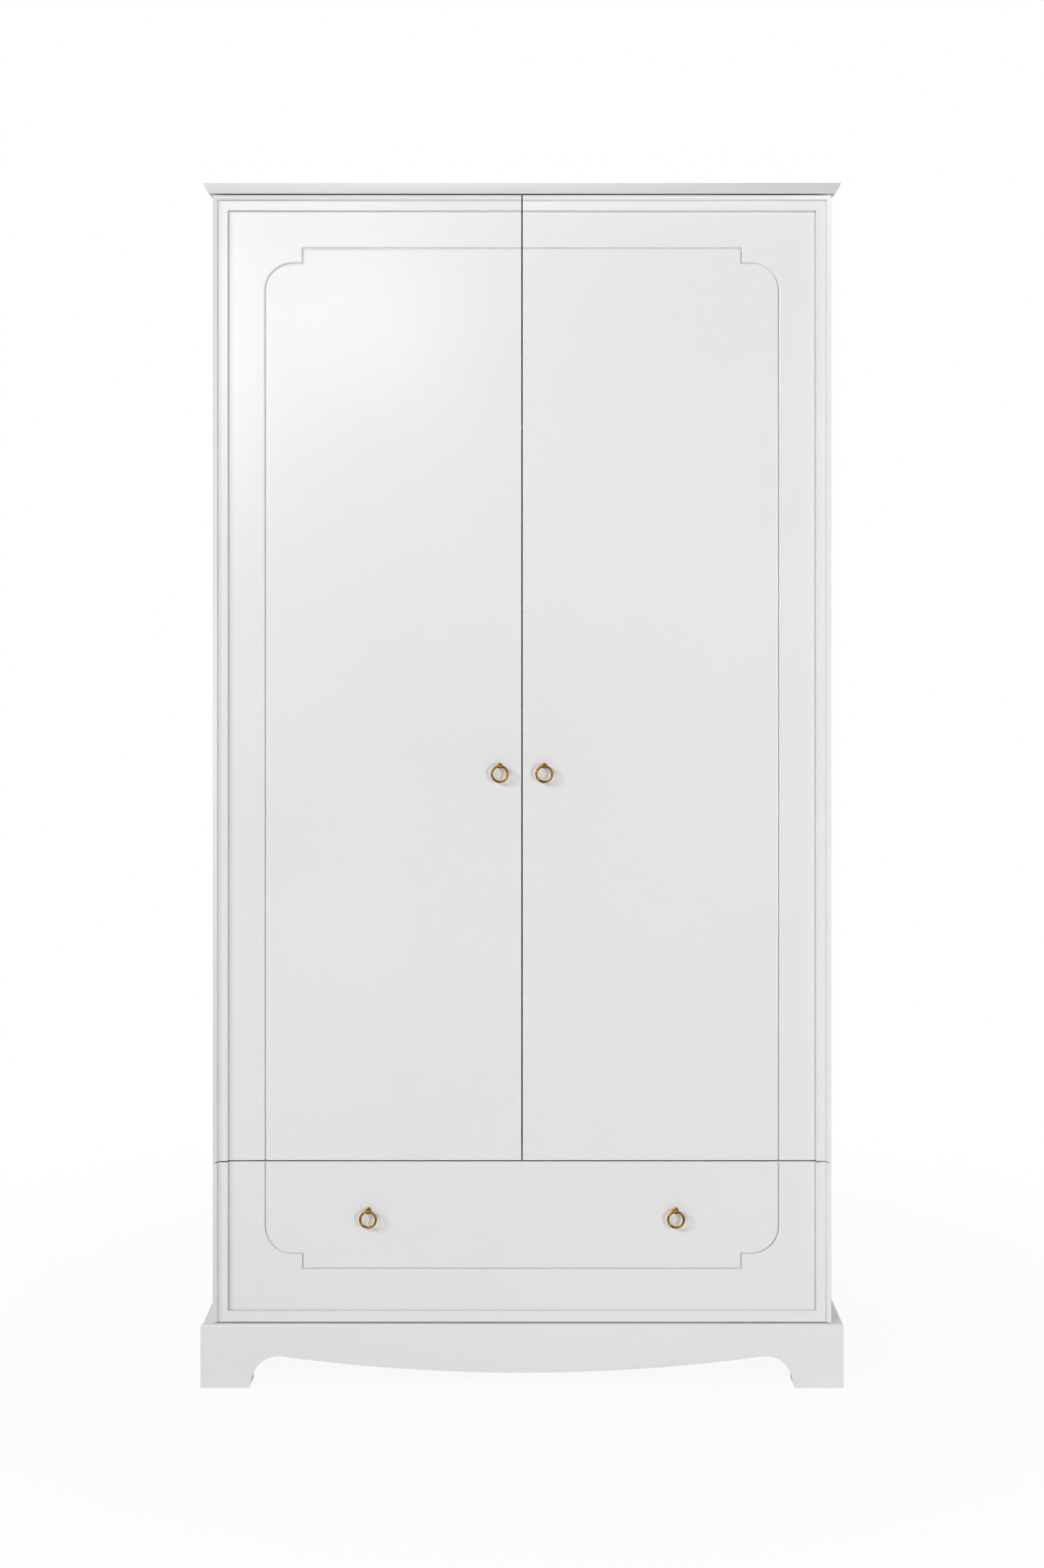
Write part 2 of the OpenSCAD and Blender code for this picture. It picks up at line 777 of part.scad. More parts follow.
module quirk_level(x0, x1, z0) {
    block([x0, field_y - over, z0], [x1, field_y + quirk_d, z0 + quirk_w]);
}

// Hole for the stud of a pull
module stud_hole(x, z, depth) {
    translate([x, field_y - over, z]) rotate([-90, 0, 0])
        cylinder(d = stud_d + 2 * stud_fit, h = depth + 2 * over);
}

module right_door_panel() {
    color(paint) difference() {
        raised(door_bottom, door_top) {
            translate([meet_x, field_y]) square([body_x - meet_x - door_edge_r, door_t]);
            translate([meet_x, field_y]) square([body_x - meet_x, door_t - door_edge_r]);
            translate([body_x - door_edge_r, slab_y - door_edge_r]) circle(r = door_edge_r);
        }
        translate([0, field_y, door_top - groove_margin])
            groove_half(door_top - door_bottom - groove_margin + over);
        quirk_upright(door_bottom - over, door_top - mould_w);
        quirk_level(meet_x - over, body_x - mould_w, door_top - mould_w - quirk_w);
        hinge_mortises();
        stud_hole(door_pull_x, door_pull_z, door_t);
    }
}

module left_door_panel() {
    left() right_door_panel();
}

module drawer_front() {
    color(paint) difference() {
        block([-body_x, field_y, drawer_bottom], [body_x, slab_y, drawer_top]);
        both_sides() {
            translate([0, field_y, drawer_bottom + groove_margin]) mirror([0, 0, 1])
                groove_half(drawer_top - drawer_bottom - groove_margin + over);
            quirk_upright(drawer_bottom + cove_w, drawer_top + over);
            quirk_level(-over, body_x - mould_w, drawer_bottom + cove_w);
            stud_hole(drawer_pull_x, drawer_pull_z, door_t);
        }
    }
}

// Uprights with band and cove, and a level strip with the cove alone along the lower edge
module drawer_moulding() {
    color(paint) {
        both_sides() difference() {
            upright_border(drawer_bottom, drawer_top);
            carried_back(mould_y - over, field_y + over) polygon([
                [body_x - band_w, drawer_bottom],
                [body_x - 2 * mould_w, drawer_bottom + 2 * mould_w - band_w],
                [body_x - 2 * mould_w, drawer_bottom - over], [body_x - band_w, drawer_bottom - over]]);
        }
        difference() {
            translate([body_x - band_w, field_y, drawer_bottom]) mirror([0, 0, 1]) rotate([0, -90, 0])
                linear_extrude(body_w - 2 * band_w) cove_section();
            both_sides() mitre(body_x - band_w, drawer_bottom, 1);
        }
    }
}

// Collar, stem and ball head on a stud through the front. The eye runs across the ball.
module pull_post(x, z, grip) {
    translate([x, field_y, z]) difference() {
        rotate([90, 0, 0]) {
            cylinder(d1 = collar_d, d2 = collar_d - collar_t, h = collar_t);
            cylinder(d = stem_d, h = ring_off);
            translate([0, 0, ring_off]) sphere(d = ball_d);
            translate([0, 0, -grip]) cylinder(d = stud_d, h = grip + collar_t / 2);
        }
        translate([0, -ring_off, 0]) rotate([0, 90, 0])
            cylinder(r = eye_r, h = ball_d + over, center = true);
    }
}

// Washer and hexagon nut on the stud, behind the boards that it grips
module pull_nut(x, z, boards) {
    translate([x, field_y + boards, z]) rotate([-90, 0, 0]) difference() {
        union() {
            cylinder(d = washer_d, h = washer_t);
            cylinder(d = nut_d, h = washer_t + nut_t, $fn = 6);
        }
        translate([0, 0, -over]) cylinder(d = stud_d + stud_fit, h = washer_t + nut_t + 2 * over);
    }
}

module pull_ring(x, z) {
    color(brass) translate([x, ring_y, z - ring_r]) rotate([90, 0, 0])
        rotate_extrude() translate([ring_r, 0]) circle(d = ring_wire, $fn = 24);
}

module right_door_post() {
    color(brass) pull_post(door_pull_x, door_pull_z, door_t + stud_end);
}

module left_door_post() {
    left() right_door_post();
}

module right_door_nut() {
    color(zinc) pull_nut(door_pull_x, door_pull_z, door_t);
}

module left_door_nut() {
    left() right_door_nut();
}

module right_door_ring() {
    pull_ring(door_pull_x, door_pull_z);
}

module left_door_ring() {
    left() right_door_ring();
}

module drawer_posts() {
    color(brass) both_sides() pull_post(drawer_pull_x, drawer_pull_z, door_t + box_t + stud_end);
}

module drawer_nuts() {
    color(zinc) both_sides() pull_nut(drawer_pull_x, drawer_pull_z, door_t + box_t);
}

module right_drawer_ring() {
    pull_ring(drawer_pull_x, drawer_pull_z);
}

module left_drawer_ring() {
    left() right_drawer_ring();
}

// Magnets in the top rail reach to the strike discs on the doors
module door_magnets() {
    color(zinc) both_sides() translate([magnet_x, slab_y + strike_t + touch_gap, magnet_z])
        rotate([-90, 0, 0]) cylinder(d = magnet_d, h = carcass_gap - strike_t - touch_gap + magnet_l);
}

module right_strike_disc() {
    color(zinc) translate([magnet_x, slab_y, magnet_z]) rotate([-90, 0, 0])
        cylinder(d = strike_d, h = strike_t);
}

module left_strike_disc() {
    left() right_strike_disc();
}

module door_buffers() {
    color(clear_rubber) both_sides() for (z = [magnet_z, divider_top + door_stop_h / 2])
        translate([buffer_x, slab_y + touch_gap, z]) rotate([-90, 0, 0])
            cylinder(d = buffer_d, h = carcass_gap - touch_gap);
}

// Angles under the crown board, for a screw through the back panel into the wall
module wall_brackets() {
    color(zinc) both_sides() translate([bracket_pitch / 2, panel_y, crown_z]) difference() {
        union() {
            block([-bracket_w / 2, -bracket_leg, -bracket_t], [bracket_w / 2, 0, 0]);
            block([-bracket_w / 2, -bracket_t, -bracket_leg], [bracket_w / 2, 0, 0]);
        }
        translate([0, -bracket_t - over, wall_hole_z - crown_z]) rotate([-90, 0, 0])
            cylinder(d = wall_hole_d, h = bracket_t + 2 * over);
    }
}

// Groove for the drawer's bottom panel, cut into the boards round it
module floor_groove() {
    block([box_t - box_groove - box_x, slab_y + box_t - box_groove, box_z + box_floor_up],
        [box_x - box_t + box_groove, box_back_y - box_t + box_groove, box_z + box_floor_up + box_floor_t]);
}

module drawer_side_right() {
    color(inside_paint) difference() {
        block([box_x - box_t, slab_y, box_z], [box_x, box_back_y, box_z + box_h]);
        floor_groove();
    }
}

module drawer_side_left() {
    left() drawer_side_right();
}

module drawer_box_front() {
    color(inside_paint) difference() {
        block([box_t - box_x, slab_y, box_z], [box_x - box_t, slab_y + box_t, box_z + box_h]);
        floor_groove();
        both_sides() stud_hole(drawer_pull_x, drawer_pull_z, door_t + box_t);
    }
}

module drawer_back() {
    color(inside_paint) difference() {
        block([box_t - box_x, box_back_y - box_t, box_z], [box_x - box_t, box_back_y, box_z + box_h]);
        floor_groove();
    }
}

module drawer_bottom() {
    edge = box_t - box_groove + box_clear;
    color(inside_paint) block([edge - box_x, slab_y + edge, box_z + box_floor_up + box_clear],
        [box_x - edge, box_back_y - edge, box_z + box_floor_up + box_floor_t - box_clear]);
}

// A channel that is open towards -x, with its web's outer face at x = 0
module channel(height) {
    h = height / 2;
    t = runner_t;
    polygon([[0, -h], [0, h], [-flange_w, h], [-flange_w, h - t], [-t, h - t],
        [-t, t - h], [-flange_w, t - h], [-flange_w, -h]]);
}

module runner_member() {
    carried_back(runner_y, runner_y + runner_l) children();
}

module right_runner_outer() {
    color(zinc) runner_member() translate([inner_x, runner_z]) channel(runner_h);
}

module left_runner_outer() {
    left() right_runner_outer();
}

module right_runner_middle() {
    color(zinc) runner_member() translate([middle_x, runner_z]) channel(middle_h);
}

module left_runner_middle() {
    left() right_runner_middle();
}

module right_runner_inner() {
    color(zinc) runner_member() translate([box_x, runner_z]) mirror([1, 0]) channel(inner_h);
}

module left_runner_inner() {
    left() right_runner_inner();
}

// A row of balls in a cage, along y from 0 to cage_l
module ball_cage() {
    pitch = cage_l / cage_balls;
    translate([-cage_w / 2, 0, -cage_t / 2]) cube([cage_w, cage_l, cage_t]);
    for (i = [0 : cage_balls - 1]) translate([0, (i + 0.5) * pitch, 0]) sphere(d = race_ball_d, $fn = 24);
}

// The outer races hold their cages near the middle member's back end, the inner races near its front end,
// so that each cage stays between its two members all the way out
module right_ball_cages() {
    outer_race = middle_h / 2 + race_h / 2;
    inner_race = inner_h / 2 + race_h / 2;
    race_x = (middle_x + box_x) / 2;
    color(nylon) for (up = [-1, 1]) {
        translate([race_x, runner_y + runner_l - cage_l - runner_inset, runner_z + up * outer_race])
            ball_cage();
        translate([race_x, runner_y + runner_inset, runner_z + up * inner_race]) ball_cage();
    }
}

module left_ball_cages() {
    left() right_ball_cages();
}

left_side();
right_side();
top_board();
bottom_board();
divider_board();
top_rail();
door_stop();
back_panel_left();
back_panel_right();
back_joint_strip();
hat_shelf();
shelf_pins();
hanging_rail();
rail_sockets();
plinth_front();
plinth_left();
plinth_right();
plinth_back();
plinth_battens();
plinth_corner_blocks();
left_hinge_plates();
right_hinge_plates();
door_magnets();
door_buffers();
wall_brackets();
left_runner_outer();
right_runner_outer();
left_door_panel();
left_door_moulding();
left_hinge_leaves();
left_door_post();
left_door_nut();
left_strike_disc();
left_door_ring();
right_door_panel();
right_door_moulding();
right_hinge_leaves();
right_door_post();
right_door_nut();
right_strike_disc();
right_door_ring();
drawer_front();
drawer_moulding();
drawer_box_front();
drawer_side_left();
drawer_side_right();
drawer_back();
drawer_bottom();
drawer_posts();
drawer_nuts();
left_runner_inner();
right_runner_inner();
left_drawer_ring();
right_drawer_ring();
left_runner_middle();
right_runner_middle();
left_ball_cages();
right_ball_cages();
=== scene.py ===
"""Looks of a white two-door wardrobe over one wide drawer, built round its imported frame.

Metres, +Z up, front towards -Y. The left half mirrors the right half.
"""

import json
import logging
import math
from dataclasses import dataclass, field
from enum import Enum
from typing import Any, Iterable, Mapping, Sequence

import bmesh
import bpy
import numpy as np
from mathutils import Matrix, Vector

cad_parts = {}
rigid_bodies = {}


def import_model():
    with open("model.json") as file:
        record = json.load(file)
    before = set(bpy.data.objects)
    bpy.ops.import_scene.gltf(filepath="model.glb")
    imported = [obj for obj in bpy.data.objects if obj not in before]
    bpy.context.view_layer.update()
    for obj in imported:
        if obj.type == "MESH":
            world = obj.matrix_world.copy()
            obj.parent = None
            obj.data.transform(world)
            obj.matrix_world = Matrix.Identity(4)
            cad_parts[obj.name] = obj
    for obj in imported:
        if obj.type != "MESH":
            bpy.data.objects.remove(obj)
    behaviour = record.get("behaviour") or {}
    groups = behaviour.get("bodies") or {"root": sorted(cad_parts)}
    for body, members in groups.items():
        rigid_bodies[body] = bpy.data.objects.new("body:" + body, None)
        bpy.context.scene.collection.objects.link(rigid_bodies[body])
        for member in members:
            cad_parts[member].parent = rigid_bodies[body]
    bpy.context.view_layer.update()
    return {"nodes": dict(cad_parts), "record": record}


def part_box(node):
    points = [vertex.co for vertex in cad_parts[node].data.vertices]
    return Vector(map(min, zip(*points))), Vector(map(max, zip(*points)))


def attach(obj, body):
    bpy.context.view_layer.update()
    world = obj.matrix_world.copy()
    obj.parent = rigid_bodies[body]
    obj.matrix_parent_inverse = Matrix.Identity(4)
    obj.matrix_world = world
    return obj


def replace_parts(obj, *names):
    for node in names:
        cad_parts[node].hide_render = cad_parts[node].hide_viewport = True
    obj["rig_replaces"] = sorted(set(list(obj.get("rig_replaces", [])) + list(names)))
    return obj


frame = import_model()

LOG = logging.getLogger("wardrobe")
PHOTO_H = 2356
MM = 0.001
WELD = 1e-6
FLAT_ANGLE = math.radians(0.3)
CORNER_ANGLE = math.radians(25)
ARRIS_ANGLE = math.radians(35)
NOISE_SPAN = (0.3, 0.7)
RAMP_SPAN = (0.35, 0.65)
UP = np.array((0.0, 0.0, 1.0))
FORWARD = np.array((0.0, -1.0, 0.0))
OTHER_HALF = np.array((-1.0, 1.0, 1.0))

Array = np.ndarray
Edges = tuple[Array, Array]
Point = Sequence[float]


class Side(Enum):
    """The two halves of the wardrobe, with the sign of their x."""

    LEFT = -1.0
    RIGHT = 1.0

    @property
    def word(self) -> str:
        """The half's name as the nodes spell it."""
        return self.name.lower()


class Slot(Enum):
    """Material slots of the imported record."""

    LACQUER = "satin_lacquer"
    INSIDE = "inside_lacquer"
    PINE = "bare_pine"
    BRASS = "brass"
    ZINC = "zinc_plated_steel"
    CHROME = "chrome"
    RUBBER = "clear_rubber"
    NYLON = "black_nylon"


def linear(code: str) -> tuple[float, float, float, float]:
    """Turns an sRGB hex value into linear colour with full alpha.

    Args:
        code: Six hex digits after a hash sign.

    Returns:
        Red, green, blue and alpha, where c = ((s + 0.055) / 1.055) ** 2.4 over s = 0.04045.
    """
    shares = np.array([int(code[i : i + 2], 16) / 255 for i in (1, 3, 5)])
    curved = np.where(shares > 0.04045, ((shares + 0.055) / 1.055) ** 2.4, shares / 12.92)
    return (*map(float, curved), 1.0)


WHITE = linear("#FFFFFF")
FLOOR_PAINT = linear("#F4F4F4")


def add_node(
    tree: bpy.types.NodeTree,
    kind: str,
    settings: Mapping[Any, Any] | None = None,
    links: Mapping[Any, bpy.types.NodeSocket] | None = None,
) -> bpy.types.Node:
    """Adds a node with its settings and links.

    Args:
        tree: Node tree that gets the node.
        kind: Blender's name of the node type.
        settings: Values of properties (lower case) and of inputs (names as shown, or numbers).
        links: Output sockets for the inputs.

    Returns:
        The new node.
    """
    node = tree.nodes.new(kind)
    for key, value in (settings or {}).items():
        if isinstance(key, str) and key[0].islower():
            setattr(node, key, value)
        else:
            node.inputs[key].default_value = value
    for key, socket in (links or {}).items():
        tree.links.new(socket, node.inputs[key])
    return node


def spread(
    tree: bpy.types.NodeTree, socket: bpy.types.NodeSocket, low: float, high: float
) -> bpy.types.NodeSocket:
    """Spreads the middle of a noise over the range from low to high, and returns the new socket."""
    settings = {"From Min": NOISE_SPAN[0], "From Max": NOISE_SPAN[1], "To Min": low, "To Max": high}
    return add_node(tree, "ShaderNodeMapRange", settings, {"Value": socket}).outputs["Result"]


@dataclass(frozen=True)
class Grain:
    """A noise pattern of one real size.

    Attributes:
        size: Width of one spot in metres.
        stretch: How much longer the spots are along x, y and z.
        detail: Octaves of finer noise.
    """

    size: float
    stretch: tuple[float, float, float] = (1.0, 1.0, 1.0)
    detail: float = 2.0

    def add(self, tree: bpy.types.NodeTree) -> bpy.types.NodeSocket:
        """Adds the pattern on object coordinates.

        Args:
            tree: Node tree that gets the nodes.

        Returns:
            The socket of the pattern's value.
        """
        where = add_node(tree, "ShaderNodeTexCoord").outputs["Object"]
        scale = tuple(1 / (self.size * part) for part in self.stretch)
        placed = add_node(tree, "ShaderNodeMapping", {"Scale": scale}, {"Vector": where})
        settings = {"Scale": 1.0, "Detail": self.detail}
        links = {"Vector": placed.outputs["Vector"]}
        return add_node(tree, "ShaderNodeTexNoise", settings, links).outputs["Fac"]


@dataclass(frozen=True)
class Finish:
    """A finish with two close colours, a range of roughness and a fine relief.

    Attributes:
        name: Plain name of the material and of how its surface was made.
        slot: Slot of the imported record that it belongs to.
        colours: Two sRGB hex values that the pattern runs between.
        pattern: Pattern of the colours.
        gloss: Lowest and highest roughness.
        relief: Pattern of the surface's relief.
        depth: Depth of the relief in metres.
        shader: Values of the shader's own inputs.
    """

    name: str
    slot: Slot
    colours: tuple[str, str]
    pattern: Grain
    gloss: tuple[float, float]
    relief: Grain
    depth: float
    shader: Mapping[str, Any] = field(default_factory=dict)

    def material(self) -> bpy.types.Material:
        """Returns the finish's material, which is made at its first use."""
        return bpy.data.materials.get(self.name) or self.made()

    def made(self) -> bpy.types.Material:
        """Makes the material: colours, roughness and relief all come from noise in object space.

        Returns:
            The new material.
        """
        material = bpy.data.materials.new(self.name)
        material.use_nodes = True
        tree = material.node_tree
        shader = tree.nodes["Principled BSDF"]
        for key, value in self.shader.items():
            shader.inputs[key].default_value = value
        clouds = self.pattern.add(tree)
        ramp = add_node(tree, "ShaderNodeValToRGB", links={"Fac": clouds})
        for element, position, code in zip(ramp.color_ramp.elements, RAMP_SPAN, self.colours):
            element.position = position
            element.color = linear(code)
        settings = {"Strength": 1.0, "Distance": self.depth}
        bump = add_node(tree, "ShaderNodeBump", settings, {"Height": self.relief.add(tree)})
        tree.links.new(ramp.outputs["Color"], shader.inputs["Base Color"])
        tree.links.new(spread(tree, clouds, *self.gloss), shader.inputs["Roughness"])
        tree.links.new(bump.outputs["Normal"], shader.inputs["Normal"])
        return material


# Satin polyurethane lacquer, sprayed on MDF: even white, a soft wide highlight and a faint
# orange peel, which is drawn a little coarser than the real 2 mm so that it shows.
LACQUER = Finish(
    "satin_sprayed_lacquer", Slot.LACQUER, ("#E4E4E4", "#E6E6E6"), Grain(0.4), (0.2, 0.23),
    Grain(4 * MM), 0.012 * MM, {"IOR": 1.5},
)
# The same lacquer inside: matt and a little warmer.
INSIDE = Finish(
    "matt_inside_lacquer", Slot.INSIDE, ("#DFDDD8", "#E2E0DC"), Grain(0.3), (0.5, 0.58),
    Grain(3 * MM), 0.015 * MM, {"IOR": 1.5},
)
# Planed pine: straight brown grain lines a few millimetres wide, dull.
PINE = Finish(
    "planed_pine", Slot.PINE, ("#B98F56", "#DDBE8B"), Grain(5 * MM, (40.0, 4.0, 4.0), 4.0),
    (0.55, 0.7), Grain(1.5 * MM, (20.0, 2.0, 2.0)), 0.05 * MM, {"IOR": 1.45},
)
# Cast and polished brass with the first tarnish of handling: dark gold, softly clouded.
BRASS = Finish(
    "polished_aged_brass", Slot.BRASS, ("#6E4A10", "#A67A1A"), Grain(5 * MM, detail=3.0),
    (0.2, 0.34), Grain(1 * MM), 0.01 * MM, {"Metallic": 1.0},
)
# Steel sheet with bright zinc: light grey, faintly clouded.
ZINC = Finish(
    "zinc_plated_steel", Slot.ZINC, ("#A9ADB2", "#C4C8CC"), Grain(6 * MM), (0.28, 0.42),
    Grain(0.8 * MM), 0.006 * MM, {"Metallic": 1.0},
)
# Chromed steel tube: nearly a mirror.
CHROME = Finish(
    "chromed_steel", Slot.CHROME, ("#C9CCCF", "#D6D8DA"), Grain(0.1), (0.06, 0.12),
    Grain(20 * MM), 0.01 * MM, {"Metallic": 1.0},
)
# Cast polyurethane buffers: cloudy, partly clear.
RUBBER = Finish(
    "cast_clear_rubber", Slot.RUBBER, ("#D2D5D3", "#DDDFDD"), Grain(4 * MM), (0.3, 0.4),
    Grain(1 * MM), 0.01 * MM, {"IOR": 1.5, "Transmission Weight": 0.35},
)
# Moulded nylon of the ball cages: dull black.
NYLON = Finish(
    "moulded_black_nylon", Slot.NYLON, ("#26272A", "#303134"), Grain(8 * MM), (0.45, 0.55),
    Grain(0.6 * MM), 0.02 * MM, {"IOR": 1.53},
)
FINISHES = (LACQUER, INSIDE, PINE, BRASS, ZINC, CHROME, RUBBER, NYLON)


def full_turn(steps: int) -> Array:
    """Angles of a full turn in equal steps, without the last one."""
    return np.linspace(0, 2 * np.pi, steps + 1)[:-1]


def arc(centre: Point, radius: float, start: float, end: float, steps: int) -> Array:
    """Points of an arc: centre + radius * (cos t, sin t), with t from start to end in degrees."""
    t = np.radians(np.linspace(start, end, steps + 1))
    return np.column_stack((centre[0] + radius * np.cos(t), centre[1] + radius * np.sin(t)))


def bowed(start: Point, end: Point, sag: float, steps: int) -> Array:
    """Points of an arc that bows out to the left of the way from start to end.

    Args:
        start: First point.
        end: Last point.
        sag: Height of the arc over its chord c, which makes its radius (c^2 / 4 + sag^2) / (2 sag).
            Below 0, the arc bows out to the right.
        steps: Number of stretches.

    Returns:
        Points at equal angles.
    """
    a, b = np.array(start, float), np.array(end, float)
    chord = np.linalg.norm(b - a)
    along = (b - a) / chord
    left = np.array((-along[1], along[0]))
    radius = (chord**2 / 4 + sag**2) / (2 * sag)
    half = math.asin(min(1.0, chord / 2 / abs(radius)))
    t = np.linspace(-half, half, steps + 1)[:, None]
    over = radius * np.cos(t) - (radius - sag)
    return (a + b) / 2 + abs(radius) * np.sin(t) * along + over * left


def both_halves(half: Array) -> Array:
    """An outline from its half with x above 0, followed by the mirror image back to the start."""
    return np.vstack((half, half[::-1] * (-1, 1)))


def softened(outline: Array, radius: float, steps: int = 3, closed: bool = True) -> Array:
    """Rounds the corners of an outline.

    A corner B becomes the curve (1 - t)^2 P + 2 t (1 - t) B + t^2 Q. P and Q lie on the sides, at
    radius from B or at a third of a shorter side. Corners under CORNER_ANGLE stay as they are.

    Args:
        outline: Points (n, 2).
        radius: Reach of the rounding along each side.
        steps: Stretches per corner.
        closed: Whether the last point joins the first.

    Returns:
        The outline with rounded corners.
    """
    back = np.roll(outline, 1, 0) - outline
    ahead = np.roll(outline, -1, 0) - outline
    back_l = np.linalg.norm(back, axis=1, keepdims=True)
    ahead_l = np.linalg.norm(ahead, axis=1, keepdims=True)
    turn = -(back * ahead).sum(1) / (back_l * ahead_l)[:, 0]
    sharp = turn < math.cos(CORNER_ANGLE)
    if not closed:
        sharp[[0, -1]] = False
    p = outline + back / back_l * np.minimum(radius, back_l / 3)
    q = outline + ahead / ahead_l * np.minimum(radius, ahead_l / 3)
    t = np.linspace(0, 1, steps + 1)[None, :, None]
    curves = (1 - t) ** 2 * p[:, None] + 2 * t * (1 - t) * outline[:, None] + t**2 * q[:, None]
    rows = zip(curves, outline, sharp)
    return np.vstack([curve if is_sharp else point[None] for curve, point, is_sharp in rows])


def on_front(outline: Array, y: float) -> Array:
    """Stands an outline of x and z upright in the plane y."""
    return np.column_stack((outline[:, 0], np.full(len(outline), y), outline[:, 1]))


@dataclass(frozen=True)
class Path:
    """A path in space.

    Attributes:
        points: Points (n, 3).
        inner: Offset of one unit to the path's inner side at each point.
    """

    points: Array
    inner: Array

    @classmethod
    def mitred(cls, points: Array, normal: Array) -> "Path":
        """Gives each point of a flat path its mitre.

        The inner side of a stretch is a = normal x direction. Where stretches with the sides a and
        b meet, one unit across is (a + b) / (1 + a . b), which lies on the mitre.

        Args:
            points: Points (n, 3).
            normal: Unit normal of the path's plane.

        Returns:
            The path.
        """
        ways = np.diff(points, axis=0)
        sides = np.cross(normal, ways / np.linalg.norm(ways, axis=1, keepdims=True))
        before, after = np.vstack((sides[:1], sides)), np.vstack((sides, sides[-1:]))
        return cls(points, (before + after) / (1 + (before * after).sum(1, keepdims=True)))

    def carry(self, outline: Array, outward: Array) -> Array:
        """Carries an outline along: (i, j) = path i + x of j * inner i + y of j * outward."""
        across = outline[None, :, :1] * self.inner[:, None]
        return self.points[:, None] + across + outline[None, :, 1:] * outward


class Skin:
    """Collects grids and flat faces, and joins them where their points meet."""

    def __init__(self) -> None:
        """Starts without a face."""
        self.points: list[Array] = []
        self.faces: list[list[int]] = []
        self.total = 0

    def add(self, points: Array, faces: Iterable[Sequence[int]]) -> "Skin":
        """Adds points and the faces between them.

        Args:
            points: Points (n, 3).
            faces: Each face's corners, counted from the first of these points.

        Returns:
            The skin itself.
        """
        self.faces += [[self.total + i for i in face] for face in faces]
        self.points.append(points)
        self.total += len(points)
        return self

    def grid(self, grid: Array, round_rows: bool = False, round_columns: bool = False) -> "Skin":
        """Adds the quads of a grid.

        Args:
            grid: Points (rows, columns, 3).
            round_rows: Whether the last row joins the first.
            round_columns: Whether the last column joins the first.

        Returns:
            The skin itself.
        """
        index = np.arange(grid.shape[0] * grid.shape[1]).reshape(grid.shape[:2])
        if round_rows:
            index = np.vstack((index, index[:1]))
        if round_columns:
            index = np.hstack((index, index[:, :1]))
        quads = np.stack((index[:-1, :-1], index[1:, :-1], index[1:, 1:], index[:-1, 1:]), -1)
        return self.add(grid.reshape(-1, 3), quads.reshape(-1, 4).tolist())

    def face(self, *outlines: Array) -> "Skin":
        """Adds one flat face round the outlines, taken one after the other."""
        points = np.vstack(outlines)
        return self.add(points, [range(len(points))])

    def rod(self, grid: Array) -> "Skin":
        """Adds a closed form from rings of points, with a flat face on its first and last ring."""
        return self.grid(grid, round_columns=True).face(grid[0]).face(grid[-1])

    def mirrored(self) -> "Skin":
        """Makes the same skin on the other side of x = 0.

        Returns:
            The new skin.
        """
        other = Skin()
        other.points = [points * OTHER_HALF for points in self.points]
        other.faces, other.total = self.faces, self.total
        return other

    def joined(self, other: "Skin") -> "Skin":
        """Adds another skin to this one, which it returns."""
        return self.add(np.vstack(other.points), other.faces)

    def mesh(self, name: str) -> bpy.types.Mesh:
        """Makes the mesh, with meeting points merged and all faces pointing outwards.

        Args:
            name: Name of the mesh.

        Returns:
            The new mesh.
        """
        mesh = bpy.data.meshes.new(name)
        mesh.from_pydata(np.vstack(self.points).tolist(), [], self.faces)
        return welded(mesh)


def welded(mesh: bpy.types.Mesh, flatten: bool = False) -> bpy.types.Mesh:
    """Merges meeting points and turns all faces outwards.

    Args:
        mesh: Mesh to change.
        flatten: Whether triangles that lie in one plane are joined.

    Returns:
        The same mesh.
    """
    work = bmesh.new()
    work.from_mesh(mesh)
    bmesh.ops.remove_doubles(work, verts=work.verts, dist=WELD)
    if flatten:
        bmesh.ops.dissolve_limit(
            work, angle_limit=FLAT_ANGLE, verts=work.verts, edges=work.edges
        )
    bmesh.ops.recalc_face_normals(work, faces=work.faces)
    work.to_mesh(mesh)
    work.free()
    mesh.shade_smooth()
    return mesh


def place(
    name: str,
    mesh: bpy.types.Mesh,
    finish: Finish,
    body: str,
    nodes: Sequence[str] = (),
    arris: float = 0.0,
) -> None:
    """Puts a mesh into the scene as a finished piece.

    Args:
        name: Name of the piece.
        mesh: Its mesh, in the frame's place.
        finish: Its finish.
        body: CAD body that it rides on.
        nodes: CAD nodes that it stands for.
        arris: Width of the rounding on its sharp edges, in metres.
    """
    piece = bpy.data.objects.new(name, mesh)
    bpy.context.scene.collection.objects.link(piece)
    mesh.materials.clear()
    mesh.materials.append(finish.material())
    if arris:
        bevel = piece.modifiers.new("arris", "BEVEL")
        bevel.width = arris
        bevel.segments = 2
        bevel.limit_method = "ANGLE"
        bevel.angle_limit = ARRIS_ANGLE
        bevel.miter_outer = "MITER_ARC"
    even = piece.modifiers.new("even_normals", "WEIGHTED_NORMAL")
    even.weight = 100
    even.keep_sharp = True
    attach(piece, body)
    if nodes:
        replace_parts(piece, *nodes)
    LOG.info("%s: %d faces on %s", name, len(mesh.polygons), body)


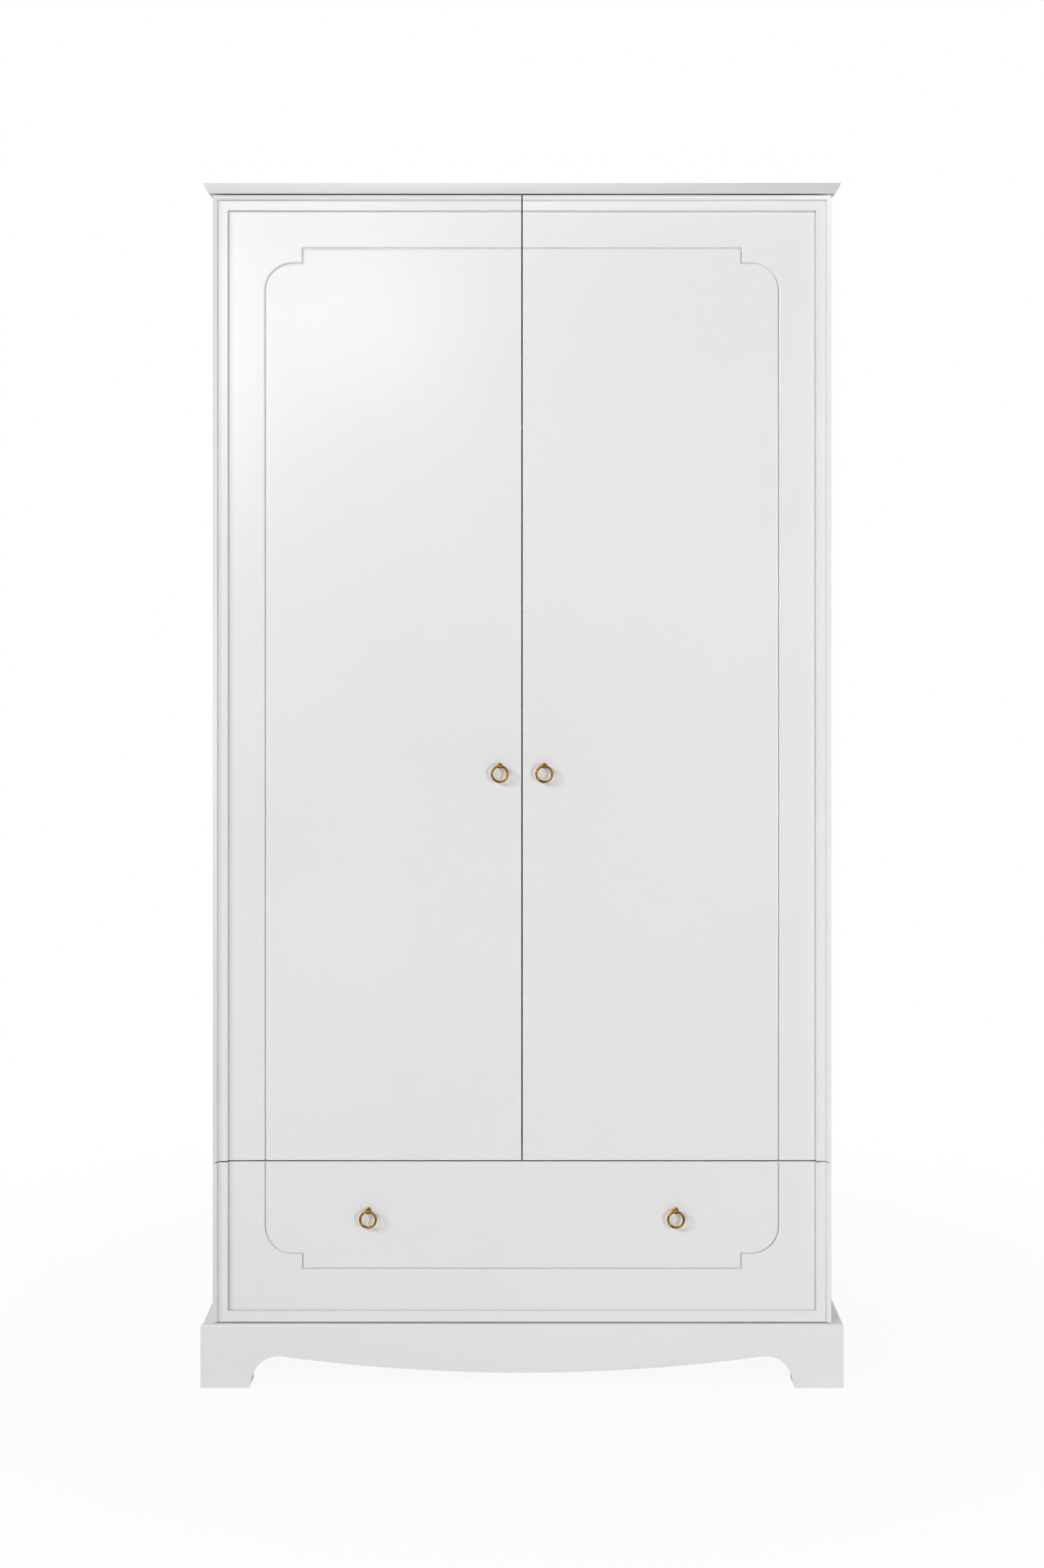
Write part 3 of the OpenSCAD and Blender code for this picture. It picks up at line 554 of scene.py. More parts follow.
@dataclass(frozen=True)
class Border:
    """Profile of the border moulding, from its outer edge inwards, and the quirk beside it.

    Attributes:
        width: Width of the moulding.
        height: Height of its outer edge over the field.
        band_w: Width of the sloping band along the outer edge.
        band_fall: How much the band falls over its width.
        band_step: Depth of the step behind the band.
        hollow_w: Width of the small hollow at the foot of the step.
        hollow_sag: How deep the hollow bows in.
        hollow_steps: Stretches of the hollow.
        foot: Height where the hollow ends.
        lip: Height at the moulding's inner edge.
        quirk_w: Width of the quirk.
        quirk_d: Depth of the quirk.
        quirk_wall: Upright share of the quirk's walls.
        quirk_floor: Flat share of its width.
        arris: Reach of the rounding on the moulding's corners.
    """

    width: float = 24 * MM
    height: float = 14 * MM
    band_w: float = 6.9 * MM
    band_fall: float = 2.8 * MM
    band_step: float = 1.2 * MM
    hollow_w: float = 1.9 * MM
    hollow_sag: float = 0.7 * MM
    hollow_steps: int = 7
    foot: float = 6.2 * MM
    lip: float = 5.8 * MM
    quirk_w: float = 1.5 * MM
    quirk_d: float = 1.1 * MM
    quirk_wall: float = 0.7
    quirk_floor: float = 0.5
    arris: float = 0.7 * MM

    def band(self) -> Array:
        """Corners of the band: the outer edge's foot and head, and its own inner edge."""
        return np.array(((0, 0), (0, self.height), (self.band_w, self.height - self.band_fall)))

    def face(self) -> Array:
        """The hollow at the foot of the step and the nearly level face from there to the lip.

        Returns:
            Points of distance from the outer edge and height, ending on the field at the lip.
        """
        top = self.height - self.band_fall - self.band_step
        end = (self.band_w + self.hollow_w, self.foot)
        hollow = bowed((self.band_w, top), end, -self.hollow_sag, self.hollow_steps)
        return np.vstack((hollow, [(self.width, self.lip), (self.width, 0)]))

    def full(self) -> Array:
        """Closed outline of band, step and face: distance from the outer edge and height."""
        return softened(np.vstack((self.band(), self.face())), self.arris)

    def band_alone(self) -> Array:
        """Closed outline of the band alone, as the drawer front has it along its sides."""
        return softened(np.vstack((self.band(), [(self.band_w, 0)])), self.arris)

    def face_alone(self) -> Array:
        """Closed outline without the band, as the drawer front has it along its lower edge."""
        start = (self.band_w, 0)
        return softened(np.vstack(([start], self.face())) - start, self.arris)

    def quirk(self) -> Array:
        """Open outline of the quirk about its middle, from the inner to the outer lip.

        Returns:
            Points of offset and height.
        """
        w, d = self.quirk_w / 2, self.quirk_d
        wall, floor = (w, -self.quirk_wall * d), (self.quirk_floor * w, -d)
        return both_halves(np.array(((w, 0), wall, floor)))


@dataclass(frozen=True)
class Groove:
    """Groove with a rounded corner and a mitred step: a narrow slot between two shallow slopes.

    Attributes:
        margin: Distance of its centreline from the edges of the front.
        width: Width over both slopes.
        slope: Depth at the foot of the slopes.
        slot_w: Width of the slot.
        slot_d: Depth of the slot.
        draft: How much narrower each side of the slot is at its floor.
        bend_r: Radius of the rounded corner.
        bend_steps: Stretches of the rounded corner.
        run: Level stretch between the bend and the step.
        step: Height of the step.
    """

    margin: float = 86 * MM
    width: float = 9 * MM
    slope: float = 0.55 * MM
    slot_w: float = 2.4 * MM
    slot_d: float = 3.9 * MM
    draft: float = 0.05 * MM
    bend_r: float = 46 * MM
    bend_steps: int = 20
    run: float = 16.5 * MM
    step: float = 25 * MM

    def section(self) -> Array:
        """Open outline of slopes and slot, from the inner to the outer lip.

        Returns:
            Points of offset and height.
        """
        half, slot = self.width / 2, self.slot_w / 2
        foot, floor = (slot, -self.slope), (slot - self.draft, -self.slot_d)
        return both_halves(np.array(((half, 0), foot, floor)))

    def corner(self, x: float, z: float) -> Array:
        """Centreline of one corner of the frame that the groove makes.

        Args:
            x: Place of the upright line that it comes from.
            z: Height of the level line that it leads to.

        Returns:
            Points of x and z from the bend's start to the step's upper corner.
        """
        r, low = self.bend_r, z - self.step
        step_x = x - r - self.run
        bend = arc((x - r, low - r), r, 0, 90, self.bend_steps)
        return np.vstack((bend, [(step_x, low), (step_x, z)]))


@dataclass(frozen=True)
class Front:
    """Planes, lines and cuts that the doors and the drawer front share.

    Attributes:
        body_x: Half the width of the doors and the drawer front together.
        field_y: Plane of the flat field.
        slab_y: Plane of the back.
        border: Their border moulding and quirk.
        groove: Their groove.
        edge_r: Radius of the doors' outer back edge.
        edge_steps: Stretches of that edge.
        arris: Rounding of the sharp edges.
    """

    body_x: float
    field_y: float
    slab_y: float
    border: Border = Border()
    groove: Groove = Groove()
    edge_r: float = 3 * MM
    edge_steps: int = 6
    arris: float = 0.25 * MM

    @classmethod
    def from_frame(cls) -> "Front":
        """Reads the planes from the drawer front's box."""
        low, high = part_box("drawer_front")
        return cls(high.x, low.y, high.y)

    def path(self, line: Array) -> Path:
        """The path of a line of x and z on the field, which has its inner side on the left."""
        return Path.mitred(on_front(line, self.field_y), FORWARD)

    def cut(self, skin: Skin, line: Array, section: Array) -> Edges:
        """Carries a section along a line of the field.

        Args:
            skin: Skin that gets the surface.
            line: Points of x and z, run so that the middle of the front lies on the left.
            section: Open outline of offset and height.

        Returns:
            The inner and the outer edge of the cut.
        """
        grid = self.path(line).carry(section, FORWARD)
        skin.grid(grid)
        return grid[:, 0], grid[:, -1]

    def fields(self, skin: Skin, corner: Array, groove: Edges, quirk: Edges, rim: Array) -> None:
        """Adds the flat fields inside the groove, between the two cuts and outside the quirk.

        Args:
            skin: Skin that gets the faces.
            corner: The field's corner inside the groove.
            groove: Inner and outer edge of the groove.
            quirk: Inner and outer edge of the quirk.
            rim: The field's corners outside the quirk, in the order of the cuts' points.
        """
        skin.face(corner, groove[0])
        skin.face(groove[1], quirk[0][::-1])
        skin.face(quirk[1], rim[::-1])

    def ends(self, cut: Edges, section: Array) -> tuple[Array, Array]:
        """Outlines of a cut where it runs out at the edges of its panel.

        With s the share of a point's offset in the whole section, the point is
        inner + s (outer - inner) + height * forward.

        Args:
            cut: Inner and outer edge of the cut.
            section: Its section.

        Returns:
            The outlines at its first and its last point.
        """
        inner, outer = cut
        share = (section[:, :1] - section[0, 0]) / (section[-1, 0] - section[0, 0])
        rise = section[:, 1:] * FORWARD
        return tuple(inner[end] + share * (outer[end] - inner[end]) + rise for end in (0, -1))


@dataclass(frozen=True)
class Door:
    """A door panel with its shaped groove, quirk and border moulding.

    Attributes:
        front: What it shares with the other door and the drawer front.
        side: Its half of the wardrobe.
    """

    front: Front
    side: Side

    @property
    def limits(self) -> tuple[float, float, float]:
        """Meeting edge, lower and upper edge of the right-hand door."""
        low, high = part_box("right_door_panel")
        return low.x, low.z, high.z

    def panel(self) -> Skin:
        """Skin of the right-hand panel: two cuts, the fields beside them, edges and back.

        Returns:
            The closed skin.
        """
        front, border, groove = self.front, self.front.border, self.front.groove
        meet, bottom, top = self.limits
        skin = Skin()
        x, z = front.body_x - groove.margin, top - groove.margin
        line = np.vstack(([(x, bottom)], groove.corner(x, z), [(meet, z)]))
        groove_cut = front.cut(skin, line, groove.section())
        inset = border.width + border.quirk_w / 2
        x, z = front.body_x - inset, top - inset
        quirk_cut = front.cut(skin, np.array(((x, bottom), (x, z), (meet, z))), border.quirk())
        corner = on_front(np.array(((meet, bottom),)), front.field_y)
        rim = np.array(((front.body_x, bottom), (front.body_x, top), (meet, top)))
        rim = on_front(rim, front.field_y)
        front.fields(skin, corner, groove_cut, quirk_cut, rim)
        self.edges(skin, corner, groove_cut, quirk_cut, rim)
        return skin

    def edges(self, skin: Skin, corner: Array, groove: Edges, quirk: Edges, rim: Array) -> None:
        """Closes the panel: the cuts show in its lower and its meeting edge.

        Args:
            skin: Skin that gets the faces.
            corner: Front corner where the two edges meet.
            groove: Inner and outer edge of the groove.
            quirk: Inner and outer edge of the quirk.
            rim: Front corners at the outer edge's foot and head and at the meeting edge's head.
        """
        front, r = self.front, self.front.edge_r
        meet, bottom, top = self.limits
        groove_low, groove_meet = front.ends(groove, front.groove.section())
        quirk_low, quirk_meet = front.ends(quirk, front.border.quirk())
        back = arc((front.body_x - r, front.slab_y - r), r, 0, 90, front.edge_steps)
        back = np.vstack((back, [(meet, front.slab_y)]))
        low, high = (np.column_stack((back, np.full(len(back), z))) for z in (bottom, top))
        skin.face(corner, groove_low, quirk_low, rim[:1], low)
        skin.face(rim[1:][::-1], high)
        skin.face(corner, groove_meet, quirk_meet, rim[2:], high[-1:], low[-1:])
        skin.grid(np.stack((low, high)))
        skin.face(rim[:2], high[:1], low[:1])

    def moulding(self) -> Skin:
        """Skin of the right-hand border: up the outer edge and, past a mitre, along the top.

        Returns:
            The closed skin.
        """
        meet, bottom, top = self.limits
        x = self.front.body_x
        path = self.front.path(np.array(((x, bottom), (x, top), (meet, top))))
        return Skin().rod(path.carry(self.front.border.full(), FORWARD))

    def build(self) -> None:
        """Makes the panel and its moulding."""
        body = f"{self.side.word}_door"
        parts = (("panel", self.panel(), self.front.arris), ("moulding", self.moulding(), 0.0))
        for part, skin, arris in parts:
            own = skin if self.side is Side.RIGHT else skin.mirrored()
            name = f"{body}_{part}"
            place(f"{name}_skin", own.mesh(name), LACQUER, body, [name], arris)


@dataclass(frozen=True)
class DrawerFront:
    """The drawer front, which takes up the doors' groove and border.

    Attributes:
        front: What it shares with the doors.
    """

    front: Front

    def half(self, skin: Skin) -> tuple[Array, Array]:
        """Adds the right-hand half of the field with its cuts.

        Args:
            skin: Skin that gets the faces.

        Returns:
            The front edge of the half's upper face, from the middle outwards, and the field's
            outer lower corner.
        """
        front, border, groove = self.front, self.front.border, self.front.groove
        low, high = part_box("drawer_front")
        x, z = front.body_x - groove.margin, low.z + groove.margin
        bend = groove.corner(x, -z) * (1, -1)
        line = np.vstack(([(0, z)], bend[::-1], [(x, high.z)]))
        groove_cut = front.cut(skin, line, groove.section())
        x = front.body_x - border.width - border.quirk_w / 2
        z = low.z + (border.width - border.band_w + border.quirk_w / 2)
        quirk_cut = front.cut(skin, np.array(((0, z), (x, z), (x, high.z))), border.quirk())
        middle = on_front(np.array(((0, high.z),)), front.field_y)
        rim = np.array(((0, low.z), (front.body_x, low.z), (front.body_x, high.z)))
        rim = on_front(rim, front.field_y)
        front.fields(skin, middle, groove_cut, quirk_cut, rim)
        _, groove_end = front.ends(groove_cut, groove.section())
        _, quirk_end = front.ends(quirk_cut, border.quirk())
        return np.vstack((middle, groove_end, quirk_end, rim[2:])), rim[1:2]

    def panel(self) -> Skin:
        """Skin of the whole front: two mirrored halves between plain edges and back.

        Returns:
            The closed skin.
        """
        low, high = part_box("drawer_front")
        half = Skin()
        edge, corner = self.half(half)
        skin = Skin().joined(half).joined(half.mirrored())
        back = np.array(((high.x, high.y, high.z), (high.x, high.y, low.z)))
        skin.face(edge, back[:1], back[:1] * OTHER_HALF, (edge * OTHER_HALF)[::-1][:-1])
        skin.face(corner, back[1:], back[1:] * OTHER_HALF, corner * OTHER_HALF)
        skin.face(back, (back * OTHER_HALF)[::-1])
        for turn in (1.0, OTHER_HALF):
            skin.face(edge[-1:] * turn, corner * turn, back[::-1] * turn)
        return skin

    def moulding(self) -> Skin:
        """Skin of the border: the face round three sides, and a band on each upright.

        Returns:
            The three closed forms in one skin.
        """
        front, border = self.front, self.front.border
        low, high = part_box("drawer_front")
        x = front.body_x - border.band_w
        path = front.path(np.array(((-x, high.z), (-x, low.z), (x, low.z), (x, high.z))))
        skin = Skin().rod(path.carry(border.face_alone(), FORWARD))
        for sign in (1, -1):
            x = sign * front.body_x
            upright = front.path(np.array(((x, low.z), (x, high.z)))[::sign])
            skin.rod(upright.carry(border.band_alone(), FORWARD))
        return skin

    def build(self) -> None:
        """Makes the front and its moulding."""
        parts = (("front", self.panel(), self.front.arris), ("moulding", self.moulding(), 0.0))
        for part, skin, arris in parts:
            name = f"drawer_{part}"
            place(f"{name}_skin", skin.mesh(name), LACQUER, "drawer", [name], arris)


@dataclass(frozen=True)
class Crown:
    """The crown board with its splayed, slightly swelling edge on the front and both sides.

    Attributes:
        over: How far its upper edge stands over the body.
        foot: How far its lower edge does.
        swell: How far the edge bows out between them.
        swell_steps: Stretches of the edge.
        arris: Rounding of the upper and lower corner.
    """

    over: float = 14 * MM
    foot: float = 6 * MM
    swell: float = 0.8 * MM
    swell_steps: int = 8
    arris: float = 1.0 * MM

    def skin(self) -> Skin:
        """Carries the edge round three sides and closes it above, below and behind.

        Returns:
            The closed skin.
        """
        low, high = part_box("top_board")
        x, y = high.x - self.over, low.y + self.over
        plan = np.array(((-x, high.y), (-x, y), (x, y), (x, high.y)))
        path = Path.mitred(np.column_stack((plan, np.full(len(plan), low.z))), UP)
        thick = high.z - low.z
        edge = bowed((-self.foot, 0), (-self.over, thick), self.swell, self.swell_steps)
        outline = softened(np.vstack(([(0, 0)], edge, [(0, thick)])), self.arris, closed=False)
        grid = path.carry(outline, UP)
        skin = Skin().grid(grid).face(grid[:, 0]).face(grid[:, -1])
        return skin.face(grid[0], grid[-1][::-1])

    def build(self) -> None:
        """Makes the board."""
        place("top_board_skin", self.skin().mesh("top_board"), LACQUER, "carcass", ["top_board"])


@dataclass(frozen=True)
class Plinth:
    """Plinth boards with bracket feet, a rounded upper edge and mitred corners.

    Attributes:
        thick: Thickness of the boards.
        edge_r: Radius of the upper outer edge.
        edge_steps: Stretches of that edge.
        foot: Width of a foot on the floor.
        taper: How much wider the foot is where its arch begins.
        arch_r: Radius of the small arches.
        arch_z: Height of their centres.
        arch_steps: Stretches of a small arch.
        apron_z: Height of the apron's lowest point, in the middle of the front.
        apron_steps: Stretches of the wide arc.
        arris: Rounding of the sharp edges.
    """

    thick: float = 25 * MM
    edge_r: float = 4 * MM
    edge_steps: int = 6
    foot: float = 81 * MM
    taper: float = 4 * MM
    arch_r: float = 44 * MM
    arch_z: float = 9 * MM
    arch_steps: int = 24
    apron_z: float = 25.7 * MM
    apron_steps: int = 64
    arris: float = 0.8 * MM

    def arch(self, end: float) -> Array:
        """Lower edge of one arch and its foot's flank, as distance from the foot's end and height.

        Args:
            end: Angle at which the arch meets the next line, in degrees.

        Returns:
            Points from the floor up and over.
        """
        centre = (self.foot + self.taper + self.arch_r, self.arch_z)
        return np.vstack(([(self.foot, 0)], arc(centre, self.arch_r, 180, end, self.arch_steps)))

    def apron(self, half: float) -> Array:
        """Lower edge of the front board from foot to foot.

        The wide arc touches both small ones. With c the distance of an arch's centre from the
        middle and h the wide arc's lowest point over those centres, its radius is
        (c^2 + h^2 - r^2) / (2 (r - h)).

        Args:
            half: Half the length of the board.

        Returns:
            Points of x and z from the left foot's inner corner to the right one's.
        """
        c = half - self.foot - self.taper - self.arch_r
        h = self.apron_z - self.arch_z
        radius = (c**2 + h**2 - self.arch_r**2) / (2 * (self.arch_r - h))
        lean = math.degrees(math.asin(c / (radius + self.arch_r)))
        left = self.arch(90 - lean) - (half, 0)
        centre = (0, self.apron_z + radius)
        bow = arc(centre, radius, 270 - lean, 270 + lean, self.apron_steps)[1:-1]
        return np.vstack((left, bow, (left * (-1, 1))[::-1]))

    def level(self, length: float) -> Array:
        """Lower edge of a side board, from its front foot to its back foot."""
        front = self.arch(90)
        return np.vstack((front, ((length, 0) + front * (-1, 1))[::-1]))

    def board(
        self, length: float, lower: Array, height: float, mitres: tuple[float, float]
    ) -> Array:
        """Rows of points over the board's thickness, each a closed outline of its face.

        Args:
            length: Length along the outer face.
            lower: Lower edge as distance along the board and height.
            height: Height of the board.
            mitres: How much the inner face is shorter at its start and at its end, per unit of
                thickness.

        Returns:
            Points (rows, n, 3) of distance, depth and height.
        """
        r = self.edge_r
        rows = []
        for depth, drop in (*arc((r, -r), r, 180, 90, self.edge_steps), (self.thick, 0)):
            start, end = mitres[0] * depth, length - mitres[1] * depth
            upper = [(end, height + drop), (start, height + drop)]
            outline = np.vstack(([(start, 0)], lower, [(end, 0)], upper))
            rows.append(np.insert(outline, 1, depth, axis=1))
        return np.array(rows)

    def build(self) -> None:
        """Makes the front board and both side boards."""
        low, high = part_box("plinth_front")
        lower = self.apron(high.x) + (high.x, 0)
        front = self.board(2 * high.x, lower, high.z, (1, 1)) + (low.x, low.y, 0)
        side_low, side_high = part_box("plinth_right")
        depth = side_high.y - side_low.y
        side = self.board(depth, self.level(depth), high.z, (1, 0))
        right = np.stack((side_high.x - side[..., 1], side_low.y + side[..., 0], side[..., 2]), -1)
        for name, skin in (
            ("plinth_front", Skin().rod(front)),
            ("plinth_right", Skin().rod(right)),
            ("plinth_left", Skin().rod(right).mirrored()),
        ):
            place(f"{name}_skin", skin.mesh(name), LACQUER, "carcass", [name], self.arris)


@dataclass(frozen=True)
class RingPull:
    """A brass ring in the eye of a ball-headed post, at the place of one CAD ring.

    Attributes:
        ring_body: Body of the ring.
        ring_node: CAD node of the ring.
        wire: Thickness of the ring's wire.
        ball_d: Diameter of the post's head.
        eye_r: Radius of the eye through the head.
        stem_d: Diameter of the stem.
        collar_d: Diameter of the collar on the front.
        collar_t: Thickness of the collar.
        collar_rim: Upright share of the collar's edge.
        fillet: Width and length of the slope from the collar to the stem.
        sunk: How far the stem runs into the head.
        arris: Rounding of the corners of collar and stem.
        ring_steps: Stretches round the ring and round its wire.
        post_steps: Stretches round the post and its head.
        ball_steps: Stretches of the head's arc.
    """

    ring_body: str
    ring_node: str
    wire: float = 3.9 * MM
    ball_d: float = 8.2 * MM
    eye_r: float = 2.79 * MM
    stem_d: float = 4.6 * MM
    collar_d: float = 9 * MM
    collar_t: float = 1.8 * MM
    collar_rim: float = 0.5
    fillet: tuple[float, float] = (0.5 * MM, 1 * MM)
    sunk: float = 0.6 * MM
    arris: float = 0.3 * MM
    ring_steps: tuple[int, int] = (96, 24)
    post_steps: int = 48
    ball_steps: int = 20

    @property
    def pivot(self) -> Vector:
        """Middle of the wire in the eye."""
        low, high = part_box(self.ring_node)
        return Vector(((low.x + high.x) / 2, (low.y + high.y) / 2, high.z - self.wire / 2))

    def ring(self) -> Skin:
        """A torus: radius R + r cos v at the angle u round its middle, and r sin v in front of it.

        Returns:
            The closed skin.
        """
        low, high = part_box(self.ring_node)
        big, small = (high.z - low.z - self.wire) / 2, self.wire / 2
        u, v = np.meshgrid(*map(full_turn, self.ring_steps), indexing="ij")
        reach = big + small * np.cos(v)
        x, y = self.pivot.x + reach * np.sin(u), self.pivot.y - small * np.sin(v)
        grid = np.stack((x, y, self.pivot.z - big + reach * np.cos(u)), -1)
        return Skin().grid(grid, round_rows=True, round_columns=True)

    def stem(self, field_y: float) -> Array:
        """Collar and stem: their outline (radius, distance from the field) turned about y.

        Args:
            field_y: Plane that the collar stands on.

        Returns:
            Rings of points (rows, columns, 3).
        """
        reach = field_y - self.pivot.y
        r, s = self.collar_d / 2, self.stem_d / 2
        corners = (
            (r, 0),
            (r, self.collar_rim * self.collar_t),
            (s + self.fillet[0], self.collar_t),
            (s, self.collar_t + self.fillet[1]),
            (s, reach - self.ball_d / 2 + self.sunk),
        )
        outline = softened(np.array(corners), self.arris, closed=False)
        radius, ahead = outline[:, :1], outline[:, 1:]
        t = full_turn(self.post_steps)
        x, z = self.pivot.x + radius * np.cos(t), self.pivot.z + radius * np.sin(t)
        return np.stack((x, field_y - ahead + 0 * t, z), -1)

    def head(self) -> Array:
        """The ball: an arc that ends at the eye's rims, turned about the eye's axis, x.

        Returns:
            Rings of points (rows, columns, 3), from one rim of the eye to the other.
        """
        ball = self.ball_d / 2
        lean = math.degrees(math.acos(self.eye_r / ball))
        outline = arc((0, 0), ball, 90 - lean, 90 + lean, self.ball_steps)
        along, around = outline[:, :1], outline[:, 1:]
        t = full_turn(self.post_steps)
        y, z = self.pivot.y + around * np.cos(t), self.pivot.z + around * np.sin(t)
        return np.stack((self.pivot.x + along + 0 * t, y, z), -1)

    def post(self, field_y: float) -> Skin:
        """Skin of collar and stem and of the head, whose last ring joins the first as the eye."""
        stem, head = self.stem(field_y), self.head()
        return Skin().rod(stem).grid(head, round_rows=True, round_columns=True)


@dataclass(frozen=True)
class RingPulls:
    """All four pulls.

    Attributes:
        front: The front that they stand on.
    """

    front: Front

    def build(self) -> None:
        """Makes each ring, a post for each door and one piece with both drawer posts."""
        posts: dict[str, Skin] = {}
        for part in ("door", "drawer"):
            for side in Side:
                node = f"{side.word}_{part}_ring"
                pull = RingPull(f"{side.word}_{part}_pull", node)
                place(f"{node}_wire", pull.ring().mesh(node), BRASS, pull.ring_body, [node])
                owner = "drawer" if part == "drawer" else f"{side.word}_door"
                posts.setdefault(owner, Skin()).joined(pull.post(self.front.field_y))
        for owner, skin in posts.items():
            node = "drawer_posts" if owner == "drawer" else f"{owner}_post"
            place(f"{node}_turned", skin.mesh(node), BRASS, owner, [node])


@dataclass(frozen=True)
class Joinery:
    """Nodes whose CAD shape is right and that only get softened edges and a finish.

    Attributes:
        arris: Rounding of the sharp edges for each slot.
        thin: Nodes too thin for it.
    """

    arris: Mapping[Slot, float] = field(default_factory=lambda: {
        Slot.LACQUER: 0.6 * MM, Slot.INSIDE: 0.6 * MM, Slot.PINE: 1.2 * MM,
        Slot.ZINC: 0.15 * MM, Slot.CHROME: 0.4 * MM, Slot.RUBBER: 0.5 * MM,
    })
    thin: tuple[str, ...] = ("back_joint_strip", "left_ball_cages", "right_ball_cages")

    def dress(self, node: str, finish: Finish, body: str) -> None:
        """Replaces a CAD node by its own shape with softened edges and a finish.

        Args:
            node: Name of the node.
            finish: Its finish.
            body: Body that it rides on.
        """
        mesh = welded(frame["nodes"][node].data.copy(), flatten=True)
        mesh.name = f"{node}_softened"
        arris = 0.0 if node in self.thin else self.arris[finish.slot]
        place(f"{node}_dressed", mesh, finish, body, [node], arris)

    def build(self) -> None:
        """Dresses each CAD node that still shows."""
        done = {name for piece in bpy.data.objects for name in piece.get("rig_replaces", ())}
        finishes = {finish.slot.value: finish for finish in FINISHES}
        slots = {part["node"]: part["material_slot"] for part in frame["record"]["subparts"]}
        for body, nodes in frame["record"]["behaviour"]["bodies"].items():
            for node in nodes:
                if node not in done:
                    self.dress(node, finishes[slots[node]], body)


@dataclass(frozen=True)
class Head:
    """Head of a screw or a nail, as a height over a disc.

    The square -1 <= u, v <= 1 lies on the disc by x = u sqrt(1 - v^2 / 2) and
    y = v sqrt(1 - u^2 / 2). With q the distance from the middle as a share of the radius, the dome
    is rise * sqrt(1 - dome q^2). Each arm of the cross takes off cross * (1 - |s| / reach) over its
    floor, where s runs along it.

    Attributes:
        width: Diameter.
        rise: Height over the board.
        cross: Depth of the cross recess, 0 for a nail.
        sunk: How far the head goes into the board.
        dome: How much lower its edge is than its middle, before the root.
        arm: Half widths of an arm of the cross at its floor and at its lip.
        reach: Length of an arm.
    """

    width: float
    rise: float
    cross: float = 0.0
    sunk: float = 0.2 * MM
    dome: float = 0.8
    arm: tuple[float, float] = (0.1, 0.16)
    reach: float = 0.56

    @property
    def lines(self) -> Array:
        """Values of u and v, closest together at the flanks of the cross.

        Returns:
            Values from -1 to 1.
        """
        crossed = (0.05, *self.arm, 0.3, 0.45, self.reach, 0.75, 0.9, 1.0)
        half = np.array(crossed if self.cross else (0.3, 0.65, 1.0))
        return np.concatenate((-half[::-1], (0.0,), half))

    def form(self) -> Array:
        """The head's outside.

        Returns:
            Points (rows, columns, 3), with z away from the board.
        """
        u, v = np.meshgrid(self.lines, self.lines, indexing="ij")
        x, y = u * np.sqrt(1 - v**2 / 2), v * np.sqrt(1 - u**2 / 2)
        z = self.rise * np.sqrt(1 - self.dome * np.minimum(x**2 + y**2, 1))
        floor, lip = self.arm
        arms = [
            np.clip((lip - abs(t)) / (lip - floor), 0, 1) * np.clip(1 - abs(s) / self.reach, 0, 1)
            for s, t in ((u, v), (v, u))
        ]
        z = z - self.cross * np.maximum(*arms)
        return np.stack((x * self.width / 2, y * self.width / 2, z), -1)

    def drive(self, skin: Skin, places: Array, facing: Point) -> None:
        """Adds one head at each place.

        Args:
            skin: Skin that gets the heads.
            places: Points (n, 3) on the board's surface.
            facing: Unit vector away from the board.
        """
        out = np.array(facing)
        across = np.cross(out, UP if abs(out[2]) < 0.5 else FORWARD)
        form = self.form() @ np.stack((across, np.cross(out, across), out))
        for spot in places:
            grid = spot + form
            rim = np.vstack((grid[0, :-1], grid[:-1, -1], grid[-1, :0:-1], grid[:0:-1, 0]))
            low = rim - out * (self.sunk + rim @ out - spot @ out)[:, None]
            skin.grid(grid).grid(np.stack((rim, low)), round_columns=True).face(low)


def spots(xs: Sequence[float], ys: Sequence[float], zs: Sequence[float]) -> Array:
    """Every combination of the given x, y and z."""
    return np.stack(np.meshgrid(xs, ys, zs, indexing="ij"), -1).reshape(-1, 3)


